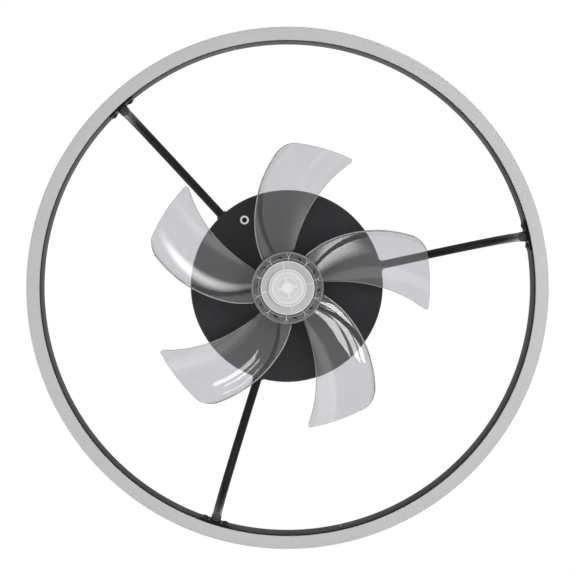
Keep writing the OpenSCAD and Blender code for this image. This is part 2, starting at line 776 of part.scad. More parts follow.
module arm_collars() {
    color(black) around(3, arm_angle) difference() {
        along_x(collar_d / 2, canopy_in_r - 2, collar_t + canopy_wall + 2, -arm_drop);
        translate([0, 0, -arm_drop - collar_d]) cylinder(r = canopy_r, h = 2 * collar_d, $fn = 128);
        along_x(arm_r, canopy_in_r - arm_bore_l / 2, arm_bore_l, -arm_drop, 48);
    }
}

module arm_washers() {
    color(zinc) around(3, arm_angle) difference() {
        intersection() {
            along_x(washer_d / 2, canopy_in_r - washer_t, washer_t + 1, -arm_drop);
            translate([0, 0, -arm_drop - nut_af]) cylinder(r = canopy_in_r, h = 2 * nut_af, $fn = 128);
        }
        along_x(arm_r, canopy_in_r - arm_bore_l / 2, arm_bore_l, -arm_drop, 48);
    }
}

module arm_lock_nuts() {
    color(zinc) around(3, arm_angle) difference() {
        along_x(nut_af / 2 / cos(30), canopy_in_r - washer_t - nut_t, nut_t, -arm_drop, 6);
        along_x(arm_r, canopy_in_r - arm_bore_l / 2, arm_bore_l, -arm_drop, 48);
    }
}

module tube_end_caps() {
    color(black) around(3, arm_angle) translate([arm_end_r, 0, arm_bottom_z]) {
        translate([0, 0, -plug_t]) cylinder(r = arm_r, h = plug_t, $fn = 48);
        translate([0, 0, -eps]) cylinder(r = arm_in_r, h = plug_l, $fn = 48);
    }
}

// A curved plate on the ring, with a cradle that the tube's lower end is brazed into
module ring_brackets() {
    color(black) around(3, arm_angle) difference() {
        union() {
            intersection() {
                tube(ring_in_r, ring_in_r - bracket_t, bracket_z - bracket_h / 2, bracket_h);
                translate([ring_in_r - 8, 0, bracket_z]) rotate([0, 90, 0])
                    rounded_slab([bracket_h, bracket_w, 10], bracket_corner);
            }
            translate([arm_end_r, -arm_r - cradle_wall, bracket_z - bracket_h / 2 + cradle_inset])
                cube([ring_in_r - arm_end_r - 1, arm_d + 2 * cradle_wall, bracket_h - 2 * cradle_inset]);
        }
        translate([arm_end_r, 0, bracket_z - bracket_h]) cylinder(r = arm_r, h = 2 * bracket_h, $fn = 48);
        along_x(lead_hole_r, arm_end_r, ring_w, lead_hole_z);
        for (a = bracket_screw_angles()) rotate(a)
            along_x(bracket_screw_d / 2 + hole_gap, ring_in_r - 6, 10, bracket_z);
    }
}

module ring_screws() {
    past_wall = 1.5;
    color(black) around(3, arm_angle) for (a = bracket_screw_angles()) rotate(a)
        translate([ring_in_r - bracket_t - 0.05, 0, bracket_z]) rotate([0, -90, 0])
            screw(bracket_screw_d, bracket_t + ring_wall + past_wall,
                bracket_screw_head[0], bracket_screw_head[1]);
}

// ---------- Light ring ----------

// Section of the channel, standing on the ring's mid line
module channel_section() {
    x0 = ring_in_r;
    difference() {
        translate([x0, channel_bottom_z]) square([ring_w, ring_h - diffuser_t]);
        translate([x0 + ring_wall, channel_bottom_z - 1])
            square([ring_w - 2 * ring_wall, ring_h - diffuser_t - ring_wall + 1]);
        translate([x0 - 1, channel_bottom_z - eps]) square([1 + reveal_depth, shadow_gap]);
        for (x = [x0 + ring_wall, x0 + ring_w - ring_wall])
            translate([x, snap_z]) circle(r = snap_r, $fn = 24);
    }
}

module ring_half(start) {
    seam = asin(seam_w / 2 / ring_r);
    color(black) difference() {
        rotate(start + seam) rotate_extrude(angle = 180 - 2 * seam, $fn = 180) channel_section();
        around(3, arm_angle) {
            for (a = bracket_screw_angles()) rotate(a)
                along_x(bracket_screw_d / 2, ring_in_r - 2, ring_wall + 3, bracket_z);
            along_x(lead_hole_r, ring_in_r - 2, ring_wall + 3, lead_hole_z);
        }
        around(2, seam_angle) for (a = splice_rivet_angles()) rotate(a)
            along_x(splice_rivet_r, ring_in_r - 2, ring_wall + 3, splice_z);
    }
}

// A curved strip behind each seam, with its two rivets in one piece with it
module ring_splices() {
    half = asin(splice_l / 2 / ring_r);
    color(zinc) around(2, seam_angle) {
        rotate(-half) rotate_extrude(angle = 2 * half, $fn = 180)
            translate([ring_in_r + ring_wall, splice_z - splice_h / 2]) square([splice_t, splice_h]);
        for (a = splice_rivet_angles()) rotate(a)
            along_x(splice_rivet_r, ring_in_r, ring_wall + splice_t, splice_z);
    }
}

module diffuser_section() {
    x0 = ring_in_r;
    x1 = ring_r;
    z0 = ring_bottom_z;
    edge = diffuser_edge_r;
    difference() {
        union() {
            translate([x0, z0]) square([ring_w - edge, diffuser_t]);
            translate([x0, z0 + edge]) square([ring_w, diffuser_t - edge]);
            translate([x1 - edge, z0 + edge]) circle(r = edge, $fn = 32);
        }
        translate([x0 - 1, z0 + diffuser_t]) square([ring_w + 2, 2]);
    }
    for (x = [x0 + ring_wall, x1 - ring_wall - leg_t])
        translate([x, z0 + diffuser_t - eps]) square([leg_t, leg_h + eps]);
    for (x = [x0 + ring_wall, x1 - ring_wall]) translate([x, snap_z]) circle(r = snap_r, $fn = 24);
}

module diffuser() {
    color(milky) rotate_extrude($fn = 180) diffuser_section();
}

module led_strip() {
    mid = ring_r - ring_w / 2;
    color([0.93, 0.92, 0.85])
        tube(mid + strip_w / 2, mid - strip_w / 2, ring_top_z - ring_wall - strip_t, strip_t);
}

module led_chips() {
    color([0.95, 0.85, 0.3]) around(chip_count)
        translate([ring_r - ring_w / 2 - chip_size[1] / 2, -chip_size[0] / 2,
            ring_top_z - ring_wall - strip_t - chip_size[2]])
            cube([chip_size[1], chip_size[0], chip_size[2]]);
}

// Two-core lead from the driver, through the first arm and into the light ring
driver_mouth = [
    driver_centre[0] + driver_size[0] / 2 - driver_ear, driver_centre[1], chassis_top_z + driver_size[2] / 2
];
led_lead_route = concat(
    [for (p = [[-3, 0, 0], [2, 0.5, 0], [6.5, 4, 0.1], [9.2, 11, 0.3]]) driver_mouth + p],
    [for (y = [20, 33]) [0, driver_mouth[1] + y, -arm_drop]]);
module led_lead() {
    low_z = arm_bottom_z + arm_vertical;
    turn = 4;
    bore = concat(
        [for (p = led_lead_route) [p[1], -p[0], p[2]]],
        [[canopy_in_r - 8, 0, -arm_drop], [canopy_r, 0, -arm_drop]],
        arc_xz(bend_x, -arm_drop - bend_1_r, bend_1_r, 90, 90 - arm_bend, 9),
        arc_xz(arm_end_r - bend_2_r, low_z, bend_2_r, 85 - arm_bend, 0, 9),
        arc_xz(arm_end_r + turn, lead_hole_z + turn, turn, 180, 270, 5),
        arc_xz(ring_r - ring_w / 2 - turn, lead_hole_z + turn, turn, 270, 360, 5),
        [[ring_r - ring_w / 2, 0, ring_top_z - ring_wall - strip_t]]);
    color([0.9, 0.9, 0.9]) rotate(arm_angle) lead(bore, lead_r, [0, 0, 1]);
}

// ---------- Rotating parts ----------

module motor_shaft() {
    color(steel) difference() {
        union() {
            translate([0, 0, hub_face_z]) cylinder(r = shaft_r, h = shaft_top_z - hub_face_z);
            translate([0, 0, shaft_end_z]) cylinder(d = thread_d, h = hub_face_z - shaft_end_z + eps);
        }
        along_x(pin_d / 2, -shaft_d, 2 * shaft_d, pin_z, 32);
    }
}

module drive_pin() {
    color(steel) along_x(pin_d / 2, -pin_l / 2, pin_l, pin_z, 32);
}

module bearing_inner_rings() {
    color(steel) for (z = [back_bearing_z, front_bearing_z]) translate([0, 0, z])
        rotate_extrude() difference() {
            translate([shaft_r, 0]) square([inner_ring_r - shaft_r, bearing_h]);
            translate([ball_ring_r, bearing_h / 2]) circle(r = ball_r + ball_gap);
        }
}

module rotor_core() {
    core_r = rotor_r - magnet_t;
    color(steel) {
        difference() {
            union() {
                translate([0, 0, rotor_bottom_z]) cylinder(r = core_r, h = rotor_h);
                translate([0, 0, rotor_bottom_z - rotor_gap])
                    cylinder(r = rotor_boss_r, h = rotor_h + 2 * rotor_gap);
            }
            translate([0, 0, rotor_bottom_z - 3]) cylinder(r = shaft_r, h = rotor_h + 6);
            around(6) translate([(core_r + rotor_boss_r) / 2, 0, rotor_bottom_z - eps])
                cylinder(r = (core_r - rotor_boss_r) / 4, h = rotor_h + 2 * eps);
        }
    }
}

module rotor_magnets() {
    half = (360 / magnet_count - magnet_slack) / 2;
    color([0.3, 0.3, 0.32]) around(magnet_count) rotate(-half) translate([0, 0, rotor_bottom_z])
        rotate_extrude(angle = 2 * half) translate([rotor_r - magnet_t, 0]) square([magnet_t, rotor_h]);
}

// Value at t of the cubic through four values at 0, 1/3, 2/3 and 1
function cubic(v, t) =
    let (a = 3 * t, b = a - 1, c = a - 2, d = a - 3)
    -v[0] * b * c * d / 6 + v[1] * a * c * d / 2 - v[2] * a * b * d / 2 + v[3] * a * b * c / 6;

// How far the tip's outline is drawn in at a distance from a corner of radius r
function corner_drop(r, distance) = distance >= r ? 0 : r - sqrt(r * r - (r - distance) * (r - distance));

// Chord position of a column, closer together at the two edges
function chord_at(j) = (1 - cos(180 * j / (blade_cols - 1))) / 2;

function tip_radius(s) =
    let (chord = (lead_sweep[3] - trail_sweep[3]) * PI / 180 * impeller_r)
    impeller_r - corner_drop(tip_lead_r, s * chord) - corner_drop(tip_trail_r, (1 - s) * chord);

// Point of a blade's middle surface at u along the span and s along the chord
function blade_point(u, s) =
    let (
        root = hub_r - blade_bury,
        r = root + u * (tip_radius(s) - root),
        t = (r - hub_r) / (impeller_r - hub_r),
        lead_a = cubic(lead_sweep, t),
        a = lead_a + s * (cubic(trail_sweep, t) - lead_a),
        rise = blade_rise - t * (lead_fall - trail_fall),
        arch = 4 * (root_camber + t * (tip_camber - root_camber)) * s * (1 - s)
    )
    [r * cos(a), r * sin(a), blade_lead_z - lead_fall * t - rise * s + arch];

function blade_normal(u, s) =
    let (d = 0.01)
    unit(cross(blade_point(u, min(1, s + d)) - blade_point(u, max(0, s - d)),
        blade_point(u + d, s) - blade_point(u - d, s)));

// Share of a blade's thickness that is left near its two edges
function blade_fill(s) = min(1, 0.6 + 4 * min(s, 1 - s));

// One closed loop round a blade's section: nose, upper face, tail, lower face
function blade_loop(u) =
    let (
        half = (blade_root_t + (blade_tip_t - blade_root_t) * u) / 2,
        last = blade_cols - 1,
        upper = [for (j = [1 : last - 1]) let (s = chord_at(j))
            blade_point(u, s) + half * blade_fill(s) * blade_normal(u, s)],
        lower = [for (j = [last - 1 : -1 : 1]) let (s = chord_at(j))
            blade_point(u, s) - half * blade_fill(s) * blade_normal(u, s)]
    )
    concat([blade_point(u, 0)], upper, [blade_point(u, 1)], lower);

module blade() {
    skin([for (i = [0 : blade_rows]) blade_loop(i / blade_rows)]);
}

module hub() {
    difference() {
        union() {
            tube(hub_r, hub_r - hub_wall, hub_rim_z, hub_h);
            translate([0, 0, hub_face_z]) cylinder(r = hub_r - 1, h = hub_face_t);
            translate([0, 0, hub_face_z]) cylinder(r = boss_r, h = boss_top_z - hub_face_z);
            around(hub_rib_count, hub_rib_angle)
                translate([boss_r - 1, -hub_rib_t / 2, hub_face_z + hub_face_t - eps])
                    cube([hub_r - boss_r - hub_wall + 1.5, hub_rib_t, hub_rib_h]);
        }
        translate([0, 0, hub_face_z - 1]) cylinder(r = shaft_r, h = boss_top_z - hub_face_z + 2);
        along_x(pin_d / 2, -pin_l / 2, pin_l, pin_z, 32);
        translate([-pin_l / 2, -pin_d / 2, pin_z]) cube([pin_l, pin_d, pin_d]);
        around(hub_rib_count, hub_slot_angle) translate([hub_slot_r, 0, hub_face_z - eps])
            rotate(hub_slot_turn) translate([-hub_slot[0] / 2, -hub_slot[1] / 2, 0])
                cube([hub_slot[0], hub_slot[1], hub_face_t + 2 * eps]);
    }
}

module impeller() {
    color(clear_grey) union() {
        hub();
        around(blade_count, impeller_phase) blade();
    }
}

module spinner_cap() {
    z = hub_face_z;
    color([0.85, 0.85, 0.86, 0.8]) {
        difference() {
            union() {
                translate([0, 0, z - cap_flange_t]) cylinder(r = cap_r, h = cap_flange_t);
                translate([0, 0, z - cap_dome_h]) cylinder(r = cap_dome_r, h = cap_dome_h);
            }
            translate([0, 0, z - cap_flange_t + cap_skin]) cylinder(r = cap_r - cap_skin, h = cap_flange_t);
            translate([0, 0, z - cap_dome_h + cap_skin]) cylinder(r = cap_dome_r - cap_skin, h = cap_dome_h);
        }
        tube(cap_dome_r, cap_dome_r - cap_skin, z - cap_dome_h + cap_skin - eps, cap_dome_h - cap_skin + eps);
        for (r = cap_rib_radii) tube(r, r - cap_skin, z - cap_dome_h + cap_skin - eps, cap_rib_h);
        tube(cap_boss_r, thread_d / 2, z - cap_dome_h + cap_skin - eps, cap_dome_h - cap_skin + eps);
        around(4, cap_spoke_angle) {
            translate([cap_boss_r - 0.5, -cap_spoke_t / 2, z - cap_dome_h + cap_skin - eps])
                cube([cap_rib_radii[0] - cap_boss_r, cap_spoke_t, cap_rib_h]);
            translate([cap_dome_r - 0.5, -cap_web_t / 2, z - cap_flange_t + cap_skin - eps])
                cube([cap_r - cap_dome_r - 0.5, cap_web_t, cap_flange_t - cap_skin + eps]);
        }
    }
}

ceiling_bracket();
ground_screw();
canopy_shell();
canopy_side_screws();
chassis_plate();
led_driver();
driver_screws();
control_board();
board_components();
board_standoffs();
board_screws();
terminal_block();
receiver_bezel();
receiver_lens();
receiver_board();
motor_isolator();
motor_screws();
motor_back_cover();
motor_housing();
stator_core();
stator_windings();
bearing_outer_rings();
bearing_balls();
motor_lead();
arm(arm_angle, true);  // arm_1
arm(arm_angle + 120, false);  // arm_2
arm(arm_angle + 240, false);  // arm_3
arm_collars();
arm_washers();
arm_lock_nuts();
tube_end_caps();
ring_brackets();
ring_screws();
ring_half(seam_angle);  // ring_frame_1
ring_half(seam_angle + 180);  // ring_frame_2
ring_splices();
led_strip();
led_chips();
diffuser();
led_lead();
impeller();
spinner_cap();
motor_shaft();
rotor_core();
rotor_magnets();
drive_pin();
bearing_inner_rings();
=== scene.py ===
"""Looks of the orbital ceiling fan: finishes, smooth mouldings, stage, lights and camera.

Everything is in metres in the fan's own frame: the ceiling plane is z = 0, the fan's axis is Z
and the fan hangs below.
"""

import math

import bmesh
import bpy
from mathutils import Matrix, Vector


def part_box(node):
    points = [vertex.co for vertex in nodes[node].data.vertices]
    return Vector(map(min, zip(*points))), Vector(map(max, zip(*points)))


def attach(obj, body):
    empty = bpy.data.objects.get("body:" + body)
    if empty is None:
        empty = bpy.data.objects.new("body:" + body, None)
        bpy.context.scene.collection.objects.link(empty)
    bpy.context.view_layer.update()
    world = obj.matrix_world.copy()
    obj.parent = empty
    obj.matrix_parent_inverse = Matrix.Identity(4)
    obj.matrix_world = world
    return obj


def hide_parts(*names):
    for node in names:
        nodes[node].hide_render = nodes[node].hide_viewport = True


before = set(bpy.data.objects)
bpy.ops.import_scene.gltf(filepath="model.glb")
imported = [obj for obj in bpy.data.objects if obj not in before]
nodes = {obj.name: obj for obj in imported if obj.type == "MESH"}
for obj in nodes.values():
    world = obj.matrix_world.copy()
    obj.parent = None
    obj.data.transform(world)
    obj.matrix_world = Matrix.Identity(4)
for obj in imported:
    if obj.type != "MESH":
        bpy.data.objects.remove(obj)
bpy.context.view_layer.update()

MM = 0.001

# ---------------------------------------------------------------- sizes read from the frame


def low(node):
    """Lowest z of a node."""
    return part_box(node)[0].z


def high(node):
    """Highest z of a node."""
    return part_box(node)[1].z


def reach(node):
    """Radius of a round node, from its greatest x."""
    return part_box(node)[1].x


RING_R = reach("diffuser")
RING_BOTTOM = low("diffuser")
RING_TOP = high("ring_frame_1")
CHASSIS_R = reach("chassis_plate")
CANOPY_TOP = high("canopy_shell")
CANOPY_BOTTOM = low("canopy_shell")
ARM_Z = (low("arm_lock_nuts") + high("arm_lock_nuts")) / 2
ARM_BOTTOM = low("arm_1")
TUBE_CAP_BOTTOM = low("tube_end_caps")
TUBE_CAP_TOP = high("tube_end_caps")
HUB_BOTTOM = low("impeller")
HUB_TOP = high("impeller")
MOTOR_BOTTOM = low("motor_housing")
CAP_BOTTOM = low("spinner_cap")
CAP_R = reach("spinner_cap")

# ---------------------------------------------------------------- sizes of the light ring

RING_W = 15 * MM
RING_IN_R = RING_R - RING_W
RING_WALL = 1.8 * MM
DIFFUSER_T = 2 * MM
DIFFUSER_TOP = RING_BOTTOM + DIFFUSER_T
DIFFUSER_LEG_H = 8 * MM
DIFFUSER_LEG_T = 1.2 * MM
DIFFUSER_IN_EDGE = 0.5 * MM
DIFFUSER_OUT_EDGE = 1.8 * MM
REVEAL_H = 4 * MM
REVEAL_DEPTH = 0.8 * MM
REVEAL_EDGE = 0.25 * MM
CHANNEL_EDGE = 0.6 * MM
# Heights between which the channel's painted shade just above the diffuser fades out.
CHANNEL_SHADE_HEIGHTS = (RING_BOTTOM + 9 * MM, RING_BOTTOM + 11 * MM)
SEAM_ANGLE = math.radians(60)
SEAM_W = 0.3 * MM

# ---------------------------------------------------------------- sizes of canopy and arms

CANOPY_R = CHASSIS_R + 6 * MM
CANOPY_WALL = 1.5 * MM
CANOPY_EDGE = 3.5 * MM
CANOPY_LIP_EDGE = 0.4 * MM
CANOPY_HOLE_R = 20 * MM

ARM_ANGLES = [math.radians(a) for a in (90, 210, 330)]
ARM_R = 5.25 * MM
ARM_IN_R = 4.25 * MM
ARM_INSIDE = 12 * MM
ARM_LEVEL = 6 * MM
ARM_BEND = math.radians(35)
ARM_VERTICAL = 15 * MM
BRACKET_T = 2.5 * MM
ARM_END_R = RING_IN_R - BRACKET_T - ARM_R

BUTTON_R = 3.6 * MM
BUTTON_H = 0.5 * MM
BUTTON_EDGE = 0.3 * MM
BUTTON_GROOVE = 0.6 * MM
TUBE_CAP_EDGE = 0.4 * MM

# ---------------------------------------------------------------- sizes of the impeller

BLADE_COUNT = 5
IMPELLER_R = 174.5 * MM
IMPELLER_PHASE = math.radians(47.2)

# Angles of a blade's two edges at the hub, a third and two thirds of the way out, and at the tip.
LEAD_SWEEP = [math.radians(a) for a in (-1.1, 3.7, 9.9, 17.5)]
TRAIL_SWEEP = [math.radians(a) for a in (-53.6, -37.4, -24.3, -11.4)]

LEAD_FALL = 7 * MM
TRAIL_FALL = 2 * MM
BLADE_LEAD_Z = HUB_TOP - 9.2 * MM
BLADE_RISE = 26 * MM
ROOT_CAMBER = 6 * MM
TIP_CAMBER = 11 * MM
BLADE_ROOT_T = 2.6 * MM
BLADE_TIP_T = 1.6 * MM
BLADE_BURY = 1 * MM
TIP_LEAD_R = 6 * MM
TIP_TRAIL_R = 12 * MM
BEAD_H = 0.5 * MM
BEAD_AT = 1.5 * MM
BEAD_W = 0.7 * MM

# How strongly the rows of a blade's grid crowd towards its tip.
BLADE_CROWD = 1.6

# The bright lips of a blade are pale strips that paint the glints along its edges.
# Where they start and how far they run are shares of the span.
LIP_W = 0.7 * MM
LIP_T = 0.9 * MM
LIP_OUT = 0.1 * MM
LIP_START = 0.03
LIP_SPAN = 0.93

HUB_R = 43 * MM
HUB_WALL = 2 * MM
HUB_IN_R = HUB_R - HUB_WALL
HUB_IN_EDGE = 0.4 * MM
HUB_OUT_EDGE = 0.7 * MM
HUB_FACE_Z = HUB_BOTTOM + 1.2 * MM
HUB_FACE_T = 2.2 * MM
HUB_FACE_BURY = 1 * MM
HUB_PLATE_Z = HUB_FACE_Z + HUB_FACE_T
SHAFT_R = 4 * MM
BOSS_R = 12 * MM
BOSS_GAP = 3 * MM

# Radius and width of each bright rim at the cup's lower edge, painted pale as its glint.
RIM_RINGS = [(HUB_R - 0.5 * MM, 0.8 * MM), (HUB_IN_R + 0.3 * MM, 0.5 * MM)]
RIM_BOTTOM = HUB_BOTTOM + 0.1 * MM
RIM_TOP = HUB_BOTTOM + 0.9 * MM
FACE_RING_R = 35 * MM
FACE_RING_W = 0.3 * MM

RIB_COUNT = 2 * BLADE_COUNT
RIB_ANGLE = math.radians(2.6)
RIB_W = 0.9 * MM
RIB_H = 7 * MM
RIB_END_R = 38 * MM
RIB_BURY = 1 * MM
RIB_SUNK = 0.2 * MM
RIB_FROM_CAP = 1 * MM
RIB_BOTTOM = HUB_FACE_Z - 0.1 * MM
RIB_TOP = HUB_PLATE_Z + RIB_H
FORK_R = 37.3 * MM
FORK_LENGTH = 3.8 * MM
FORK_W = 0.7 * MM
FORK_ANGLE = math.radians(38)
BAR_EDGE = 0.2 * MM

SLOT_ANGLE = math.radians(23.1)
SLOT_TURN = math.radians(-53.5)
SLOT_AT = 37 * MM
SLOT_LENGTH = 4.7 * MM
SLOT_W = 1.6 * MM
SLOT_DEEP = 1.6 * MM
# Dark walls in the slots that paint the shade inside them.
SHADE_WALL_BOTTOM = HUB_FACE_Z - 0.1 * MM
SHADE_WALL_T = 0.3 * MM

# ---------------------------------------------------------------- sizes of the spinner cap

CAP_SKIN = 1.2 * MM
CAP_DOME_R = 22.4 * MM
CAP_DOME_EDGE = 0.8 * MM
CAP_INNER_EDGE = 0.5 * MM
CAP_FLANGE_Z = HUB_FACE_Z - 2.4 * MM
CAP_FLANGE_EDGE = 0.7 * MM
CAP_GROOVES = (14.5 * MM, 20.3 * MM)
CAP_GROOVE = 0.45 * MM

CAP_RIB_PROUD = 0.08 * MM
CAP_RIB_IN = 3 * MM

# Radius and width of the plain rings. The wavy ones have their swing too.
DOME_RING = (CAP_DOME_R - 0.6 * MM, 1.3 * MM)
FLANGE_RING = (CAP_R - 0.7 * MM, 0.8 * MM)
WAVY_RINGS = [
    (18.3 * MM, 1.4 * MM, 0.15 * MM),
    (15.9 * MM, 0.9 * MM, 0.25 * MM),
    (12.9 * MM, 1.1 * MM, 0.2 * MM),
]
CAP_WAVES = 8
CENTRE_R = 6.6 * MM
CENTRE_PROUD = 0.05 * MM
SPOKE_COUNT = 4
SPOKE_ANGLE = math.radians(62)
SPOKE_SPAN = (5 * MM, 12.8 * MM)
SPOKE_W = 2.4 * MM
FLANGE_SPOKE_W = 0.8 * MM

# ---------------------------------------------------------------- mesh helpers

WELD = 0.002 * MM
SHARP_ANGLE = math.radians(40)


def placed(name, data):
    """An object at the origin that holds this mesh, lamp or camera."""
    thing = bpy.data.objects.new(name, data)
    bpy.context.scene.collection.objects.link(thing)
    return thing


def new_mesh(name, bm):
    """The bmesh written to a mesh, and freed."""
    mesh = bpy.data.meshes.new(name)
    bm.to_mesh(mesh)
    bm.free()
    return mesh


def keep(bm, name, body, coat, slot, *replaced):
    """Makes the finished bmesh a named piece that rides on a body."""
    mesh = new_mesh(name, bm)
    mesh.shade_smooth()
    mesh.set_sharp_from_angle(angle=SHARP_ANGLE)
    mesh.materials.append(coat)
    piece = placed(name, mesh)
    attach(piece, body)
    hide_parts(*replaced)


def verts_of(geom):
    return [item for item in geom if isinstance(item, bmesh.types.BMVert)]


def edges_of(geom):
    return [item for item in geom if isinstance(item, bmesh.types.BMEdge)]


def weld(bm):
    """Merges doubled vertices, then turns all faces outwards."""
    bmesh.ops.remove_doubles(bm, verts=bm.verts[:], dist=WELD)
    bmesh.ops.recalc_face_normals(bm, faces=bm.faces[:])


def outline(bm, points, rounds=(), segments=3):
    """Lays a face in the XZ plane through (radius, z) points.

    rounds gives (corner, radius) for each corner that is rounded.
    """
    verts = [bm.verts.new((r, 0, z)) for r, z in points]
    bm.faces.new(verts)
    for corner, radius in rounds:
        bmesh.ops.bevel(
            bm, geom=[verts[corner]], offset=radius, offset_type="OFFSET", segments=segments,
            profile=0.5, affect="VERTICES", material=-1,
        )


def lathe(points, rounds=(), steps=180, segments=3):
    """A closed (radius, z) outline turned all the way round the fan's axis."""
    bm = bmesh.new()
    outline(bm, points, rounds, segments)
    bmesh.ops.delete(bm, geom=bm.faces[:], context="FACES_ONLY")
    bmesh.ops.spin(
        bm, geom=bm.verts[:] + bm.edges[:], cent=(0, 0, 0), axis=(0, 0, 1),
        angle=math.tau, steps=steps, use_merge=True,
    )
    weld(bm)
    return bm


def part_lathe(points, start, angle, rounds, steps):
    """A closed outline turned through part of a circle, with its two ends closed."""
    bm = bmesh.new()
    outline(bm, points, rounds)
    bmesh.ops.rotate(bm, verts=bm.verts[:], cent=(0, 0, 0), matrix=Matrix.Rotation(start, 3, "Z"))
    bmesh.ops.spin(
        bm, geom=bm.verts[:] + bm.edges[:] + bm.faces[:], cent=(0, 0, 0), axis=(0, 0, 1),
        angle=angle, steps=steps, use_merge=False,
    )
    weld(bm)
    return bm


def round_rib(radius, width, bottom, top, waves=0, swing=0.0):
    """A rib that runs round the axis. It is plain, or swings in and out in a number of waves."""
    inner = radius - width / 2
    outer = radius + width / 2
    bm = lathe([(inner, bottom), (outer, bottom), (outer, top), (inner, top)], steps=160)
    for v in bm.verts:
        grow = 1 + swing * math.cos(waves * math.atan2(v.co.y, v.co.x)) / radius
        v.co.x *= grow
        v.co.y *= grow
    return bm


def bar(x0, x1, width, z0, z1, edge=BAR_EDGE):
    """A straight bar along X, centred on it. Its edges are rounded unless edge is 0."""
    bm = bmesh.new()
    bmesh.ops.create_cube(bm, size=1)
    bmesh.ops.scale(bm, vec=(x1 - x0, width, z1 - z0), verts=bm.verts[:])
    bmesh.ops.translate(bm, vec=((x0 + x1) / 2, 0, (z0 + z1) / 2), verts=bm.verts[:])
    if edge:
        bmesh.ops.bevel(
            bm, geom=bm.edges[:], offset=edge, offset_type="OFFSET", segments=2,
            profile=0.5, affect="EDGES", material=-1,
        )
    return bm


def join(target, source, matrix=Matrix.Identity(4)):
    """Adds a bmesh to another, placed by a matrix."""
    bmesh.ops.transform(source, matrix=matrix, verts=source.verts[:])
    mesh = new_mesh("shift", source)
    target.from_mesh(mesh)
    bpy.data.meshes.remove(mesh)


def turned(angle, offset=(0, 0, 0)):
    """A shift and then a turn about the fan's axis."""
    return Matrix.Rotation(angle, 4, "Z") @ Matrix.Translation(offset)


def evenly(count, first):
    """Turns about the fan's axis, evenly spaced, that begin at an angle."""
    return [turned(first + i * math.tau / count) for i in range(count)]


# ---------------------------------------------------------------- shader groups


def new_group(name, inputs, outputs):
    """A shader group with named sockets. Each input is (name, type, default)."""
    group = bpy.data.node_groups.new(name, "ShaderNodeTree")
    for title, kind, default in inputs:
        socket = group.interface.new_socket(title, in_out="INPUT", socket_type=kind)
        socket.default_value = default
    for title, kind in outputs:
        group.interface.new_socket(title, in_out="OUTPUT", socket_type=kind)
    return group, group.nodes.new("NodeGroupInput"), group.nodes.new("NodeGroupOutput")


def add(tree, kind, **values):
    """A node whose properties and input sockets are set by name."""
    node = tree.nodes.new(kind)
    for key, value in values.items():
        if hasattr(node, key):
            setattr(node, key, value)
        else:
            node.inputs[key.replace("_", " ")].default_value = value
    return node


def link(tree, source, target):
    tree.links.new(source, target)


def combine(tree, operation, *values):
    """What a Math node makes of one or two values, each an output socket or a number."""
    node = add(tree, "ShaderNodeMath", operation=operation)
    for socket, value in zip(node.inputs, values):
        if isinstance(value, bpy.types.NodeSocket):
            link(tree, value, socket)
        else:
            socket.default_value = value
    return node.outputs[0]


def tone_group():
    """Cloudy change between two colours, at a large and a small scale."""
    group, given, out = new_group(
        "uneven tone",
        [("Base", "NodeSocketColor", (0.5, 0.5, 0.5, 1)),
         ("Deep", "NodeSocketColor", (0.4, 0.4, 0.4, 1)),
         ("Scale", "NodeSocketFloat", 20.0)],
        [("Color", "NodeSocketColor"), ("Mask", "NodeSocketFloat")],
    )
    place = add(group, "ShaderNodeTexCoord")
    wide = add(group, "ShaderNodeTexNoise", Detail=3.0, Roughness=0.55)
    fine = add(group, "ShaderNodeTexNoise", Detail=4.0, Roughness=0.65)
    link(group, given.outputs["Scale"], wide.inputs["Scale"])
    link(group, combine(group, "MULTIPLY", given.outputs["Scale"], 11.0), fine.inputs["Scale"])
    for noise in (wide, fine):
        link(group, place.outputs["Object"], noise.inputs["Vector"])
    both = combine(group, "ADD", wide.outputs["Fac"], fine.outputs["Fac"])
    spread = add(group, "ShaderNodeMapRange", clamp=True, From_Min=0.75, From_Max=1.3)
    link(group, both, spread.inputs["Value"])
    mix = add(group, "ShaderNodeMixRGB", blend_type="MIX")
    link(group, spread.outputs["Result"], mix.inputs["Fac"])
    link(group, given.outputs["Base"], mix.inputs["Color1"])
    link(group, given.outputs["Deep"], mix.inputs["Color2"])
    link(group, mix.outputs["Color"], out.inputs["Color"])
    link(group, spread.outputs["Result"], out.inputs["Mask"])
    return group


def skin_group():
    """Pebbled skin of sprayed powder or moulded plastic."""
    group, given, out = new_group(
        "pebbled skin",
        [("Scale", "NodeSocketFloat", 900.0), ("Depth", "NodeSocketFloat", 0.2)],
        [("Normal", "NodeSocketVector")],
    )
    place = add(group, "ShaderNodeTexCoord")
    pebble = add(group, "ShaderNodeTexNoise", Detail=2.0, Roughness=0.5)
    link(group, place.outputs["Object"], pebble.inputs["Vector"])
    link(group, given.outputs["Scale"], pebble.inputs["Scale"])
    bump = add(group, "ShaderNodeBump", Distance=0.15 * MM)
    link(group, given.outputs["Depth"], bump.inputs["Strength"])
    link(group, pebble.outputs["Fac"], bump.inputs["Height"])
    link(group, bump.outputs["Normal"], out.inputs["Normal"])
    return group


